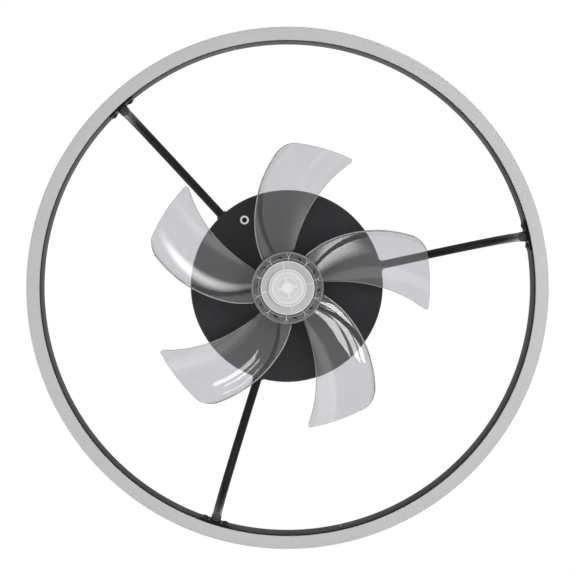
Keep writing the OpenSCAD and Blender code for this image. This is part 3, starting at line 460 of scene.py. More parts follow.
def lines_group():
    """Fine lines that run round the fan's axis, as rolling, turning or moulding leaves them."""
    group, given, out = new_group(
        "round lines",
        [("Lines", "NodeSocketFloat", 1200.0), ("Depth", "NodeSocketFloat", 0.1)],
        [("Normal", "NodeSocketVector")],
    )
    place = add(group, "ShaderNodeTexCoord")
    flat = add(group, "ShaderNodeVectorMath", operation="MULTIPLY")
    flat.inputs[1].default_value = (1, 1, 0)
    radius = add(group, "ShaderNodeVectorMath", operation="LENGTH")
    split = add(group, "ShaderNodeSeparateXYZ")
    link(group, place.outputs["Object"], flat.inputs[0])
    link(group, flat.outputs[0], radius.inputs[0])
    link(group, place.outputs["Object"], split.inputs[0])
    lay = add(group, "ShaderNodeCombineXYZ")
    link(group, radius.outputs["Value"], lay.inputs["X"])
    link(group, split.outputs["Z"], lay.inputs["Y"])
    lines = add(group, "ShaderNodeTexNoise", Detail=3.0, Roughness=0.6)
    link(group, lay.outputs[0], lines.inputs["Vector"])
    link(group, given.outputs["Lines"], lines.inputs["Scale"])
    bump = add(group, "ShaderNodeBump", Distance=0.05 * MM)
    link(group, given.outputs["Depth"], bump.inputs["Strength"])
    link(group, lines.outputs["Fac"], bump.inputs["Height"])
    link(group, bump.outputs["Normal"], out.inputs["Normal"])
    return group


def dust_group():
    """A thin film of dust that settles on faces that look up."""
    group, given, out = new_group(
        "settled dust",
        [("Color", "NodeSocketColor", (0.5, 0.5, 0.5, 1)), ("Amount", "NodeSocketFloat", 0.3)],
        [("Color", "NodeSocketColor")],
    )
    facing = add(group, "ShaderNodeNewGeometry")
    split = add(group, "ShaderNodeSeparateXYZ")
    link(group, facing.outputs["Normal"], split.inputs[0])
    up = add(group, "ShaderNodeMapRange", clamp=True, From_Min=0.2, From_Max=0.95)
    link(group, split.outputs["Z"], up.inputs["Value"])
    place = add(group, "ShaderNodeTexCoord")
    cloud = add(group, "ShaderNodeTexNoise", Scale=70.0, Detail=5.0, Roughness=0.7)
    link(group, place.outputs["Object"], cloud.inputs["Vector"])
    patch = combine(group, "MULTIPLY", up.outputs["Result"], cloud.outputs["Fac"])
    share = combine(group, "MULTIPLY", patch, given.outputs["Amount"])
    mix = add(group, "ShaderNodeMixRGB", blend_type="MIX", Color2=(0.42, 0.40, 0.37, 1))
    link(group, share, mix.inputs["Fac"])
    link(group, given.outputs["Color"], mix.inputs["Color1"])
    link(group, mix.outputs["Color"], out.inputs["Color"])
    return group


def painted_shade_group():
    """Painted shade: a black lower edge that fades out between two heights."""
    group, given, out = new_group(
        "painted lower shade",
        [("Color", "NodeSocketColor", (0.5, 0.5, 0.5, 1)),
         ("Low", "NodeSocketFloat", 0.0), ("High", "NodeSocketFloat", 0.01)],
        [("Color", "NodeSocketColor")],
    )
    place = add(group, "ShaderNodeTexCoord")
    split = add(group, "ShaderNodeSeparateXYZ")
    link(group, place.outputs["Object"], split.inputs[0])
    above = add(group, "ShaderNodeMapRange", clamp=True)
    link(group, split.outputs["Z"], above.inputs["Value"])
    link(group, given.outputs["Low"], above.inputs["From Min"])
    link(group, given.outputs["High"], above.inputs["From Max"])
    mix = add(group, "ShaderNodeMixRGB", blend_type="MIX", Color1=(0.012, 0.012, 0.012, 1))
    link(group, above.outputs["Result"], mix.inputs["Fac"])
    link(group, given.outputs["Color"], mix.inputs["Color2"])
    link(group, mix.outputs["Color"], out.inputs["Color"])
    return group


TONE = tone_group()
PAINTED_SHADE = painted_shade_group()
SKIN = skin_group()
LINES = lines_group()
DUST = dust_group()

# ---------------------------------------------------------------- finishes


def use(tree, group, **values):
    """A shader group placed in a material, with its inputs set by name."""
    node = tree.nodes.new("ShaderNodeGroup")
    node.node_tree = group
    for key, value in values.items():
        node.inputs[key].default_value = value
    return node


def grey(value, tint=0.0):
    """A linear grey, a little towards blue by tint."""
    return (value, value, value * (1 + tint))


def finish(name, base, deep, scale, rough, skin=None, lines=None, dust=0.0, shade_foot=None, **plain):
    """A Principled material with uneven tone, changing roughness and a surface relief.

    base and deep are the two tones and scale is the scale of their clouds. rough is the roughness
    where the tone is base and where it is deep. skin is (scale, depth) of a pebbled relief and
    lines the same of round lines. shade_foot is the two heights between which a painted shade at
    the lower edge fades out. plain sets sockets that are the same all over.
    """
    mat = bpy.data.materials.new(name)
    mat.use_nodes = True
    tree = mat.node_tree
    shader = tree.nodes["Principled BSDF"]
    tone = use(tree, TONE, Base=(*base, 1), Deep=(*deep, 1), Scale=scale)
    colour = tone.outputs["Color"]
    if dust:
        film = use(tree, DUST, Amount=dust)
        link(tree, colour, film.inputs["Color"])
        colour = film.outputs["Color"]
    # Painted shade: below the lower height the colour turns black.
    if shade_foot:
        edge = use(tree, PAINTED_SHADE, Low=shade_foot[0], High=shade_foot[1])
        link(tree, colour, edge.inputs["Color"])
        colour = edge.outputs["Color"]
    link(tree, colour, shader.inputs["Base Color"])
    wear = add(tree, "ShaderNodeMapRange", To_Min=rough[0], To_Max=rough[1])
    link(tree, tone.outputs["Mask"], wear.inputs["Value"])
    link(tree, wear.outputs["Result"], shader.inputs["Roughness"])
    if skin:
        relief = use(tree, SKIN, Scale=skin[0], Depth=skin[1])
        link(tree, relief.outputs["Normal"], shader.inputs["Normal"])
    if lines:
        relief = use(tree, LINES, Lines=lines[0], Depth=lines[1])
        link(tree, relief.outputs["Normal"], shader.inputs["Normal"])
    for key, value in plain.items():
        shader.inputs[key.replace("_", " ")].default_value = value
    return mat


POWDER = finish(
    "black powder coat", grey(0.018, 0.18), grey(0.014, 0.18), 30, (0.5, 0.6),
    skin=(1100, 0.25), dust=0.25, Specular_IOR_Level=0.25,
)
TUBE_BLACK = finish(
    "black tube coat", grey(0.012, 0.1), grey(0.009, 0.1), 60, (0.42, 0.52),
    skin=(1400, 0.18), dust=0.15, Specular_IOR_Level=0.12,
)
CAP_BLACK = finish(
    "black end caps", grey(0.018, 0.1), grey(0.013, 0.1), 300, (0.22, 0.32),
    skin=(1500, 0.08), Specular_IOR_Level=0.5,
)
# Its lower edge carries painted shade, black just above the diffuser.
CHANNEL_BLACK = finish(
    "channel anodising", grey(0.045, 0.03), grey(0.038, 0.03), 40, (0.5, 0.6),
    lines=(1500, 0.35), dust=0.2, shade_foot=CHANNEL_SHADE_HEIGHTS, Specular_IOR_Level=0.05,
)
OPAL = finish(
    "opal diffuser", (0.50, 0.50, 0.505), (0.475, 0.475, 0.48), 14, (0.42, 0.5),
    skin=(1600, 0.06), Specular_IOR_Level=0.3,
)
SMOKE = finish(
    "clear smoke plastic", (0.64, 0.64, 0.665), (0.6, 0.6, 0.625), 16, (0.03, 0.06),
    skin=(25, 0.008), Transmission_Weight=0.92, IOR=1.5,
)
HUB_SMOKE = finish(
    "clear smoke hub", (0.46, 0.46, 0.48), (0.42, 0.42, 0.44), 60, (0.04, 0.08),
    skin=(60, 0.015), Transmission_Weight=0.97, IOR=1.5,
)
# A paler copy of the clear plastic: painted highlights where its rims, ribs and edges catch the
# light.
PAINTED_GLINT_PLASTIC = finish(
    "clear plastic painted with glints", (0.78, 0.78, 0.79), (0.7, 0.7, 0.71), 60, (0.2, 0.3),
    skin=(800, 0.05), Transmission_Weight=0.35, IOR=1.5,
)
FROST = finish(
    "frosted flange plastic", (0.45, 0.45, 0.463), (0.415, 0.415, 0.428), 40, (0.3, 0.38),
    skin=(1500, 0.05),
)
DOME_FROST = finish(
    "frosted dome plastic", (0.58, 0.58, 0.59), (0.54, 0.54, 0.55), 60, (0.3, 0.38),
    skin=(1500, 0.05),
)
# The cap's ribs are its own, but their white is painted light: the glow they gather inside the
# translucent cap.
CAP_RIB_PAINTED_LIGHT = finish(
    "cap ribs painted bright", (0.74, 0.74, 0.75), (0.7, 0.7, 0.71), 50, (0.35, 0.45),
    skin=(1500, 0.05),
)
BEZEL = finish("pale bezel", grey(0.92), grey(0.88), 200, (0.18, 0.28), skin=(900, 0.04))
LENS = finish(
    "dark window", (0.006, 0.004, 0.005), (0.004, 0.003, 0.004), 200, (0.15, 0.2),
    Specular_IOR_Level=0.12,
)
ZINC = finish(
    "zinc plate", (0.50, 0.51, 0.53), (0.38, 0.39, 0.42), 45, (0.28, 0.45),
    skin=(500, 0.1), dust=0.25, Metallic=1.0,
)
STEEL = finish(
    "bright steel", (0.55, 0.55, 0.56), (0.46, 0.46, 0.47), 120, (0.2, 0.32),
    lines=(2500, 0.2), Metallic=1.0,
)
LAMINATION = finish(
    "stacked laminations", (0.22, 0.22, 0.23), (0.16, 0.15, 0.15), 90, (0.45, 0.6),
    lines=(3000, 0.6), Metallic=0.8,
)
MAGNET = finish("magnet ferrite", grey(0.06), grey(0.045), 200, (0.5, 0.65), skin=(2500, 0.2))
COPPER = finish(
    "enamelled wire", (0.48, 0.16, 0.05), (0.36, 0.10, 0.03), 150, (0.25, 0.38),
    lines=(1800, 0.8), Metallic=0.9,
)
GREEN_METAL = finish(
    "green screw", (0.02, 0.16, 0.05), (0.015, 0.11, 0.035), 300, (0.3, 0.45),
    Metallic=0.6,
)
RUBBER = finish(
    "rubber", grey(0.008), grey(0.006), 80, (0.7, 0.85),
    skin=(900, 0.2), Specular_IOR_Level=0.1,
)
WHITE_PLASTIC = finish(
    "white plastic", (0.66, 0.66, 0.63), (0.60, 0.60, 0.57), 40, (0.38, 0.5),
    skin=(1300, 0.12), dust=0.3,
)
BOARD = finish(
    "green solder mask", (0.012, 0.085, 0.03), (0.008, 0.06, 0.02), 120, (0.25, 0.4),
    skin=(700, 0.15), dust=0.2,
)
COMPONENT = finish(
    "component cases", grey(0.03, 0.2), grey(0.022, 0.2), 150, (0.3, 0.45),
    skin=(1500, 0.1), dust=0.25,
)
STRIP = finish(
    "light strip", (0.68, 0.68, 0.62), (0.62, 0.62, 0.56), 100, (0.4, 0.5),
    skin=(800, 0.1),
)
CHIP = finish("light chips", (0.75, 0.52, 0.08), (0.68, 0.45, 0.06), 500, (0.2, 0.3))
LEAD_BLACK = finish(
    "black lead jacket", grey(0.02), grey(0.014), 150, (0.45, 0.6),
    skin=(1200, 0.1), dust=0.2,
)
LEAD_WHITE = finish(
    "white lead jacket", grey(0.62), grey(0.55), 150, (0.45, 0.6),
    skin=(1200, 0.1), dust=0.3,
)

CAD_FINISHES = {
    ZINC: ["ceiling_bracket", "chassis_plate", "arm_washers", "arm_lock_nuts", "ring_splices"],
    STEEL: ["driver_screws", "board_standoffs", "board_screws", "motor_screws", "motor_shaft",
            "drive_pin", "bearing_outer_rings", "bearing_balls", "bearing_inner_rings"],
    POWDER: ["canopy_shell", "canopy_side_screws", "motor_back_cover", "motor_housing",
             "arm_collars", "ring_screws"],
    TUBE_BLACK: ["arm_1", "arm_2", "arm_3", "ring_brackets"],
    CAP_BLACK: ["tube_end_caps"],
    CHANNEL_BLACK: ["ring_frame_1", "ring_frame_2"],
    OPAL: ["diffuser"],
    SMOKE: ["impeller"],
    FROST: ["spinner_cap"],
    BEZEL: ["receiver_bezel"],
    LENS: ["receiver_lens"],
    LAMINATION: ["stator_core", "rotor_core"],
    MAGNET: ["rotor_magnets"],
    COPPER: ["stator_windings"],
    GREEN_METAL: ["ground_screw"],
    RUBBER: ["motor_isolator"],
    WHITE_PLASTIC: ["led_driver", "terminal_block"],
    BOARD: ["control_board", "receiver_board"],
    COMPONENT: ["board_components"],
    STRIP: ["led_strip"],
    CHIP: ["led_chips"],
    LEAD_BLACK: ["motor_lead"],
    LEAD_WHITE: ["led_lead"],
}
for coat, names in CAD_FINISHES.items():
    for name in names:
        nodes[name].data.materials.clear()
        nodes[name].data.materials.append(coat)

# ---------------------------------------------------------------- light ring


def diffuser_ring():
    """The pale ring, with a leg inside each of the channel's walls."""
    leg_top = DIFFUSER_TOP + DIFFUSER_LEG_H
    outer_leg = RING_R - RING_WALL
    inner_leg = RING_IN_R + RING_WALL
    points = [
        (RING_IN_R, RING_BOTTOM), (RING_R, RING_BOTTOM), (RING_R, DIFFUSER_TOP),
        (outer_leg, DIFFUSER_TOP), (outer_leg, leg_top),
        (outer_leg - DIFFUSER_LEG_T, leg_top), (outer_leg - DIFFUSER_LEG_T, DIFFUSER_TOP),
        (inner_leg + DIFFUSER_LEG_T, DIFFUSER_TOP), (inner_leg + DIFFUSER_LEG_T, leg_top),
        (inner_leg, leg_top), (inner_leg, DIFFUSER_TOP), (RING_IN_R, DIFFUSER_TOP),
    ]
    rounds = [(0, DIFFUSER_IN_EDGE), (1, DIFFUSER_OUT_EDGE)]
    bm = lathe(points, rounds, steps=480, segments=6)
    keep(bm, "opal_diffuser", "canopy", OPAL, "diffuser_milky", "diffuser")


def channel_half(name, start, node):
    """Half of the black channel, open downwards, with a shadow gap at its inner lower edge."""
    gap_top = DIFFUSER_TOP + REVEAL_H
    points = [
        (RING_R, DIFFUSER_TOP), (RING_R, RING_TOP), (RING_IN_R, RING_TOP), (RING_IN_R, gap_top),
        (RING_IN_R + REVEAL_DEPTH, gap_top), (RING_IN_R + REVEAL_DEPTH, DIFFUSER_TOP),
        (RING_IN_R + RING_WALL, DIFFUSER_TOP), (RING_IN_R + RING_WALL, RING_TOP - RING_WALL),
        (RING_R - RING_WALL, RING_TOP - RING_WALL), (RING_R - RING_WALL, DIFFUSER_TOP),
    ]
    rounds = [(1, CHANNEL_EDGE), (2, CHANNEL_EDGE), (3, REVEAL_EDGE)]
    seam = SEAM_W / 2 / RING_R
    bm = part_lathe(points, start + seam, math.pi - 2 * seam, rounds, steps=240)
    keep(bm, name, "canopy", CHANNEL_BLACK, "frame_black", node)


diffuser_ring()
channel_half("channel_half_1", SEAM_ANGLE, "ring_frame_1")
channel_half("channel_half_2", SEAM_ANGLE + math.pi, "ring_frame_2")

# ---------------------------------------------------------------- canopy


def canopy_pan():
    """The black pan, open upwards, with a round hole in the middle of its floor."""
    inner = CANOPY_R - CANOPY_WALL
    pan_floor = CANOPY_BOTTOM + CANOPY_WALL
    points = [
        (CANOPY_HOLE_R, CANOPY_BOTTOM), (CANOPY_R, CANOPY_BOTTOM), (CANOPY_R, CANOPY_TOP),
        (inner, CANOPY_TOP), (inner, pan_floor), (CANOPY_HOLE_R, pan_floor),
    ]
    rounds = [
        (1, CANOPY_EDGE), (4, CANOPY_EDGE - CANOPY_WALL),
        (2, CANOPY_LIP_EDGE), (3, CANOPY_LIP_EDGE),
    ]
    bm = lathe(points, rounds, steps=360, segments=8)
    keep(bm, "canopy_pan", "canopy", POWDER, "black_powder_coat", "canopy_shell")


canopy_pan()

# ---------------------------------------------------------------- arms


def bent_arm(angle, name, node):
    """A tube that leaves the canopy level, bends down twice and ends upright at the ring."""
    start_x = CANOPY_R - CANOPY_WALL - ARM_INSIDE
    bend_x = CANOPY_R + ARM_LEVEL
    upright_z = ARM_BOTTOM + ARM_VERTICAL

    # The radii of the first bend and the second, which together take up the run and the fall.
    run = ARM_END_R - bend_x
    fall = ARM_Z - upright_z
    sine = math.sin(ARM_BEND)
    cosine = math.cos(ARM_BEND)
    divisor = sine * cosine - (1 - sine) * (1 - cosine)
    wide = (run * cosine - fall * (1 - sine)) / divisor
    tight = (fall * sine - run * (1 - cosine)) / divisor

    bm = bmesh.new()
    turn = Matrix.Translation((start_x, 0, ARM_Z)) @ Matrix.Rotation(math.pi / 2, 4, "Y")
    for radius in (ARM_R, ARM_IN_R):
        bmesh.ops.create_circle(bm, cap_ends=False, radius=radius, segments=32, matrix=turn)
    edge = bm.edges[:]
    bmesh.ops.bridge_loops(bm, edges=edge)

    def stretch(edges, offset):
        made = bmesh.ops.extrude_edge_only(bm, edges=edges)["geom"]
        bmesh.ops.translate(bm, verts=verts_of(made), vec=offset)
        return edges_of(made)

    def bend(edges, centre, bend_angle, steps):
        verts = list({v for e in edges for v in e.verts})
        made = bmesh.ops.spin(
            bm, geom=edges + verts, cent=centre, axis=(0, 1, 0), angle=bend_angle, steps=steps,
        )["geom_last"]
        return edges_of(made)

    edge = stretch(edge, (bend_x - start_x, 0, 0))
    edge = bend(edge, (bend_x, 0, ARM_Z - wide), ARM_BEND, 24)
    edge = bend(edge, (ARM_END_R - tight, 0, upright_z), math.pi / 2 - ARM_BEND, 28)
    edge = stretch(edge, (0, 0, -ARM_VERTICAL))
    bmesh.ops.bridge_loops(bm, edges=edge)
    bmesh.ops.rotate(bm, verts=bm.verts[:], cent=(0, 0, 0), matrix=Matrix.Rotation(angle, 3, "Z"))
    weld(bm)
    keep(bm, name, "canopy", TUBE_BLACK, "black_powder_coat", node)


def tube_caps():
    """Moulded caps that close the tubes' lower ends, each with a groove round its button."""
    groove_r = BUTTON_R + BUTTON_GROOVE
    groove_z = TUBE_CAP_BOTTOM + BUTTON_H
    points = [
        (0, TUBE_CAP_BOTTOM), (BUTTON_R, TUBE_CAP_BOTTOM), (BUTTON_R, groove_z),
        (groove_r, groove_z), (groove_r, TUBE_CAP_BOTTOM), (ARM_R, TUBE_CAP_BOTTOM),
        (ARM_R, ARM_BOTTOM), (ARM_IN_R, ARM_BOTTOM), (ARM_IN_R, TUBE_CAP_TOP), (0, TUBE_CAP_TOP),
    ]
    bm = bmesh.new()
    for angle in ARM_ANGLES:
        cap = lathe(points, [(1, BUTTON_EDGE), (5, TUBE_CAP_EDGE)], steps=48)
        join(bm, cap, turned(angle, (ARM_END_R, 0, 0)))
    keep(bm, "tube_caps", "canopy", CAP_BLACK, "black_powder_coat", "tube_end_caps")


for index, angle in enumerate(ARM_ANGLES):
    bent_arm(angle, "bent_tube_%d" % (index + 1), "arm_%d" % (index + 1))
tube_caps()

# ---------------------------------------------------------------- shape of a blade


def cubic(v, t):
    """Value at t of the cubic through four values at 0, 1/3, 2/3 and 1."""
    a = 3 * t
    b = 3 * t - 1
    c = 3 * t - 2
    d = 3 * t - 3
    return (v[3] * a * b * c - v[0] * b * c * d) / 6 + (v[1] * a * c * d - v[2] * a * b * d) / 2


def corner_drop(radius, distance):
    """How far the tip's outline is drawn in at a distance from a rounded corner."""
    inside = radius - min(max(distance, 0), radius)
    return radius - math.sqrt(radius ** 2 - inside ** 2)


def tip_radius(s):
    """How far out the blade reaches at s across it, with its two tip corners rounded."""
    chord = (LEAD_SWEEP[3] - TRAIL_SWEEP[3]) * IMPELLER_R
    lead_drop = corner_drop(TIP_LEAD_R, s * chord)
    return IMPELLER_R - lead_drop - corner_drop(TIP_TRAIL_R, (1 - s) * chord)


def blade_point(u, s):
    """A blade's middle surface at u along the span and s from leading to trailing edge."""
    root = HUB_R - BLADE_BURY
    r = root + u * (tip_radius(s) - root)
    t = (r - HUB_R) / (IMPELLER_R - HUB_R)
    lead = cubic(LEAD_SWEEP, t)
    a = lead + s * (cubic(TRAIL_SWEEP, t) - lead)
    rise = BLADE_RISE - t * (LEAD_FALL - TRAIL_FALL)
    arch = 4 * (ROOT_CAMBER + t * (TIP_CAMBER - ROOT_CAMBER)) * s * (1 - s)
    return Vector((r * math.cos(a), r * math.sin(a), BLADE_LEAD_Z - LEAD_FALL * t - rise * s + arch))


def half_thickness(u, s):
    """Half a blade's thickness: nothing at its round rim, and a bead beside the trailing edge."""
    full = (BLADE_ROOT_T + (BLADE_TIP_T - BLADE_ROOT_T) * u) / 2
    here = blade_point(u, s)
    to_trail = (blade_point(u, 1) - here).length
    to_lead = (blade_point(u, 0) - here).length
    rim = min(to_trail, to_lead, (1 - u) * (tip_radius(s) - HUB_R), full)
    bead = BEAD_H * math.exp(-((to_trail - BEAD_AT) / BEAD_W) ** 2)
    return math.sqrt(full ** 2 - (full - rim) ** 2) * (1 + bead / full)


def thickened(bm, half):
    """Gives a laid grid its thickness, half of it to each side of every vertex."""
    bmesh.ops.recalc_face_normals(bm, faces=bm.faces[:])
    bm.normal_update()
    first = bm.verts[:]
    step = {v.co.to_tuple(7): v.normal * half[v.index] for v in first}
    second = verts_of(bmesh.ops.extrude_face_region(bm, geom=bm.faces[:])["geom"])
    for side, verts in ((1, first), (-1, second)):
        for v in verts:
            v.co += side * step[v.co.to_tuple(7)]
    weld(bm)
    return bm


def blade():
    """One blade: a grid laid on the middle surface, finer towards its edges, and thickened."""
    bm = bmesh.new()
    bmesh.ops.create_grid(bm, x_segments=120, y_segments=60, size=0.5)
    half = {}
    for v in bm.verts:
        u = 1 - max(0, 0.5 - v.co.x) ** BLADE_CROWD
        s = (1 - math.cos(math.pi * (v.co.y + 0.5))) / 2
        v.co = blade_point(u, s)
        half[v.index] = half_thickness(u, s)
    return thickened(bm, half)


def blade_glint_lip(edge):
    """Painted glint: the pale lip just outside a blade's leading (0) or trailing (1) edge."""
    bm = bmesh.new()
    bmesh.ops.create_grid(bm, x_segments=64, y_segments=6, size=0.5)
    half = {}
    for v in bm.verts:
        u = LIP_START + LIP_SPAN * (v.co.x + 0.5)
        chord = (blade_point(u, 1) - blade_point(u, 0)).length
        across = v.co.y + 0.5
        v.co = blade_point(u, abs(edge - (across * LIP_W - LIP_OUT) / chord))
        half[v.index] = LIP_T * math.sqrt(max(0, 1 - (2 * across - 1) ** 2)) / 2
    return thickened(bm, half)


# ---------------------------------------------------------------- impeller


def slot_places():
    """Where the hub's slots lie, each turned off the radius."""
    slot = Matrix.Translation((SLOT_AT, 0, 0)) @ Matrix.Rotation(SLOT_TURN, 4, "Z")
    return [turn @ slot for turn in evenly(RIB_COUNT, SLOT_ANGLE)]


def hub_face():
    """The cup's flat face with the slots cut through it."""
    bm = bmesh.new()
    for radius in (SHAFT_R, HUB_R - HUB_FACE_BURY):
        bmesh.ops.create_circle(bm, cap_ends=False, radius=radius, segments=180)
    square = Matrix.Rotation(math.pi / 4, 3, "Z")
    for place in slot_places():
        slot = bmesh.ops.create_circle(
            bm, cap_ends=False, radius=math.sqrt(0.5), segments=4,
        )["verts"]
        bmesh.ops.rotate(bm, verts=slot, cent=(0, 0, 0), matrix=square)
        bmesh.ops.scale(bm, verts=slot, vec=(SLOT_LENGTH, SLOT_W, 1))
        bmesh.ops.transform(bm, verts=slot, matrix=place)
    bmesh.ops.triangle_fill(bm, use_beauty=True, edges=bm.edges[:])
    top = verts_of(bmesh.ops.extrude_face_region(bm, geom=bm.faces[:])["geom"])
    bmesh.ops.translate(bm, verts=top, vec=(0, 0, HUB_FACE_T))
    bmesh.ops.translate(bm, verts=bm.verts[:], vec=(0, 0, HUB_FACE_Z))
    bmesh.ops.recalc_face_normals(bm, faces=bm.faces[:])
    return bm


def hub_cup():
    """The hub's wall, its face and the boss that takes the motor's shaft."""
    wall = [(HUB_IN_R, HUB_BOTTOM), (HUB_R, HUB_BOTTOM), (HUB_R, HUB_TOP), (HUB_IN_R, HUB_TOP)]
    rounds = [(0, HUB_IN_EDGE), (1, HUB_OUT_EDGE), (2, HUB_OUT_EDGE), (3, HUB_IN_EDGE)]
    bm = lathe(wall, rounds, steps=240, segments=4)
    join(bm, hub_face())
    boss_top = MOTOR_BOTTOM - BOSS_GAP
    boss = [(SHAFT_R, HUB_PLATE_Z), (BOSS_R, HUB_PLATE_Z), (BOSS_R, boss_top), (SHAFT_R, boss_top)]
    join(bm, lathe(boss, steps=96))
    keep(bm, "hub_cup", "impeller", HUB_SMOKE, "clear_smoke", "impeller")


def blades():
    """The five swept blades, whose roots reach a little into the hub's wall."""
    bm = bmesh.new()
    for turn in evenly(BLADE_COUNT, IMPELLER_PHASE):
        join(bm, blade(), turn)
    keep(bm, "blades", "impeller", SMOKE, "clear_smoke", "impeller")


def hub_ribs():
    """What shows bright on the clear moulding, as painted highlights in a paler plastic.

    These are the rims of the cup, a thin ring on its face, the ribs with their forked outer ends
    and the lips of the blades.
    """
    bm = bmesh.new()
    for radius, width in RIM_RINGS:
        join(bm, round_rib(radius, width, RIM_BOTTOM, RIM_TOP))
    join(bm, round_rib(FACE_RING_R, FACE_RING_W, RIB_BOTTOM, HUB_PLATE_Z))
    for turn in evenly(RIB_COUNT, RIB_ANGLE):
        join(bm, bar(BOSS_R - RIB_BURY, RIB_END_R, RIB_W, HUB_PLATE_Z - RIB_SUNK, RIB_TOP), turn)
        join(bm, bar(CAP_R + RIB_FROM_CAP, RIB_END_R, RIB_W, RIB_BOTTOM, HUB_PLATE_Z), turn)
        fork_place = turn @ Matrix.Translation((FORK_R, 0, 0))
        for side in (-1, 1):
            fork = bar(0, FORK_LENGTH, FORK_W, RIB_BOTTOM, RIB_TOP)
            join(bm, fork, fork_place @ turned(side * FORK_ANGLE))
    for turn in evenly(BLADE_COUNT, IMPELLER_PHASE):
        for edge in (0, 1):
            join(bm, blade_glint_lip(edge), turn)
    keep(bm, "hub_ribs", "impeller", PAINTED_GLINT_PLASTIC, "clear_smoke", "impeller")


def slot_shade_walls():
    """Painted shade: thin dark walls in the hub's slots, closed at the inner end."""
    bm = bmesh.new()
    half = SLOT_LENGTH / 2
    for place in slot_places():
        shade_walls = bar(-half, half, SLOT_W, SHADE_WALL_BOTTOM, HUB_FACE_Z + SLOT_DEEP, edge=0)
        bottom = [f for f in shade_walls.faces if f.normal.z < -0.9]
        bmesh.ops.inset_region(shade_walls, faces=bottom, thickness=SHADE_WALL_T, use_even_offset=True)
        made = bmesh.ops.extrude_face_region(shade_walls, geom=bottom)["geom"]
        bmesh.ops.delete(shade_walls, geom=bottom, context="FACES_ONLY")
        bmesh.ops.translate(shade_walls, verts=verts_of(made), vec=(0, 0, SLOT_DEEP - SHADE_WALL_T))
        join(bm, shade_walls, place)
    # The rubber finish is used only for its black: these walls are painted shade in the slots.
    keep(bm, "slot_shade_walls", "impeller", RUBBER, "rubber_black", "impeller")


hub_cup()
blades()
hub_ribs()
slot_shade_walls()

# ---------------------------------------------------------------- spinner cap


def cap_dome():
    """The frosted dome over the shaft's nut, with its wall and two round grooves."""
    inner = CAP_DOME_R - CAP_SKIN
    points = [
        (0, CAP_BOTTOM), (CAP_DOME_R, CAP_BOTTOM), (CAP_DOME_R, HUB_FACE_Z), (inner, HUB_FACE_Z),
        (inner, CAP_BOTTOM + CAP_SKIN), (0, CAP_BOTTOM + CAP_SKIN),
    ]
    grooves = []
    for r in CAP_GROOVES:
        grooves.append((r - CAP_GROOVE, CAP_BOTTOM))
        grooves.append((r, CAP_BOTTOM + CAP_GROOVE))
        grooves.append((r + CAP_GROOVE, CAP_BOTTOM))
    points[1:1] = grooves
    edge = 1 + len(grooves)
    bm = lathe(points, [(edge, CAP_DOME_EDGE), (edge + 3, CAP_INNER_EDGE)], steps=120, segments=6)
    keep(bm, "cap_dome", "impeller", DOME_FROST, "cap_frost", "spinner_cap")


def cap_flange():
    """The frosted flange round the dome."""
    inner = CAP_R - CAP_SKIN
    points = [
        (CAP_DOME_R, CAP_FLANGE_Z), (CAP_R, CAP_FLANGE_Z), (CAP_R, HUB_FACE_Z),
        (inner, HUB_FACE_Z), (inner, CAP_FLANGE_Z + CAP_SKIN),
        (CAP_DOME_R, CAP_FLANGE_Z + CAP_SKIN),
    ]
    bm = lathe(points, [(1, CAP_FLANGE_EDGE)], steps=160, segments=5)
    keep(bm, "cap_flange", "impeller", FROST, "cap_frost", "spinner_cap")


def cap_ribs():
    """Ribs that run through the frosted skin and stand out a hair: rings and spokes."""
    # Their white finish is painted light, for the glow the ribs gather inside the translucent cap.
    dome = CAP_BOTTOM - CAP_RIB_PROUD
    flange = CAP_FLANGE_Z - CAP_RIB_PROUD
    centre = dome - CENTRE_PROUD
    inside = CAP_BOTTOM + CAP_SKIN + CAP_RIB_IN
    bm = round_rib(*DOME_RING, dome, HUB_FACE_Z)
    for radius, width, swing in WAVY_RINGS:
        join(bm, round_rib(radius, width, dome, inside, CAP_WAVES, swing))
    join(bm, round_rib(*FLANGE_RING, flange, HUB_FACE_Z))
    join(bm, lathe([(0, centre), (CENTRE_R, centre), (CENTRE_R, inside), (0, inside)], steps=64))
    for turn in evenly(SPOKE_COUNT, SPOKE_ANGLE):
        join(bm, bar(*SPOKE_SPAN, SPOKE_W, dome, inside), turn)
        join(bm, bar(CAP_DOME_R, CAP_R - CAP_SKIN, FLANGE_SPOKE_W, flange, HUB_FACE_Z), turn)
    keep(bm, "cap_ribs", "impeller", CAP_RIB_PAINTED_LIGHT, "cap_frost", "spinner_cap")


cap_dome()
cap_flange()
cap_ribs()

# ---------------------------------------------------------------- stage, lights and camera

EYE = Vector((-0.0322, -0.0365, -1.630))
AIM = Vector((-0.0008, -0.0015, -0.190))
IMAGE_RIGHT = Vector((0.954, -0.299, 0))
LENS_MM = 78.5
SENSOR_MM = 36

ROOM_GLOW = 0.5
FLOOR_Z = -2.4
FLOOR_SIZE = 8
FLOOR_LIFT = 0.25
LAMP_AIM = Vector((0, 0, -0.12))
PANEL_AWAY = 2.2
MIRROR_STEP = 0.004


def camera():
    """The camera at EYE, which looks up at AIM with IMAGE_RIGHT towards its right."""
    data = bpy.data.cameras.new("camera")
    data.lens = LENS_MM
    data.sensor_width = SENSOR_MM
    data.clip_start = 0.01
    view = placed("camera", data)
    back = (EYE - AIM).normalized()
    right = (IMAGE_RIGHT - back * IMAGE_RIGHT.dot(back)).normalized()
    up = back.cross(right)
    view.matrix_world = Matrix.Translation(EYE) @ Matrix((right, up, back)).transposed().to_4x4()
    bpy.context.scene.camera = view


def soft_light(name, at, size, power):
    """A soft box aimed at the impeller. The eye sees it neither directly nor through clear pieces."""
    data = bpy.data.lights.new(name, "AREA")
    data.shape = "RECTANGLE"
    data.size, data.size_y = size
    data.energy = power
    lamp = placed(name, data)
    lamp.location = at
    lamp.rotation_euler = (LAMP_AIM - Vector(at)).to_track_quat("-Z", "Y").to_euler()
    lamp.visible_camera = False
    lamp.visible_transmission = False
    return lamp


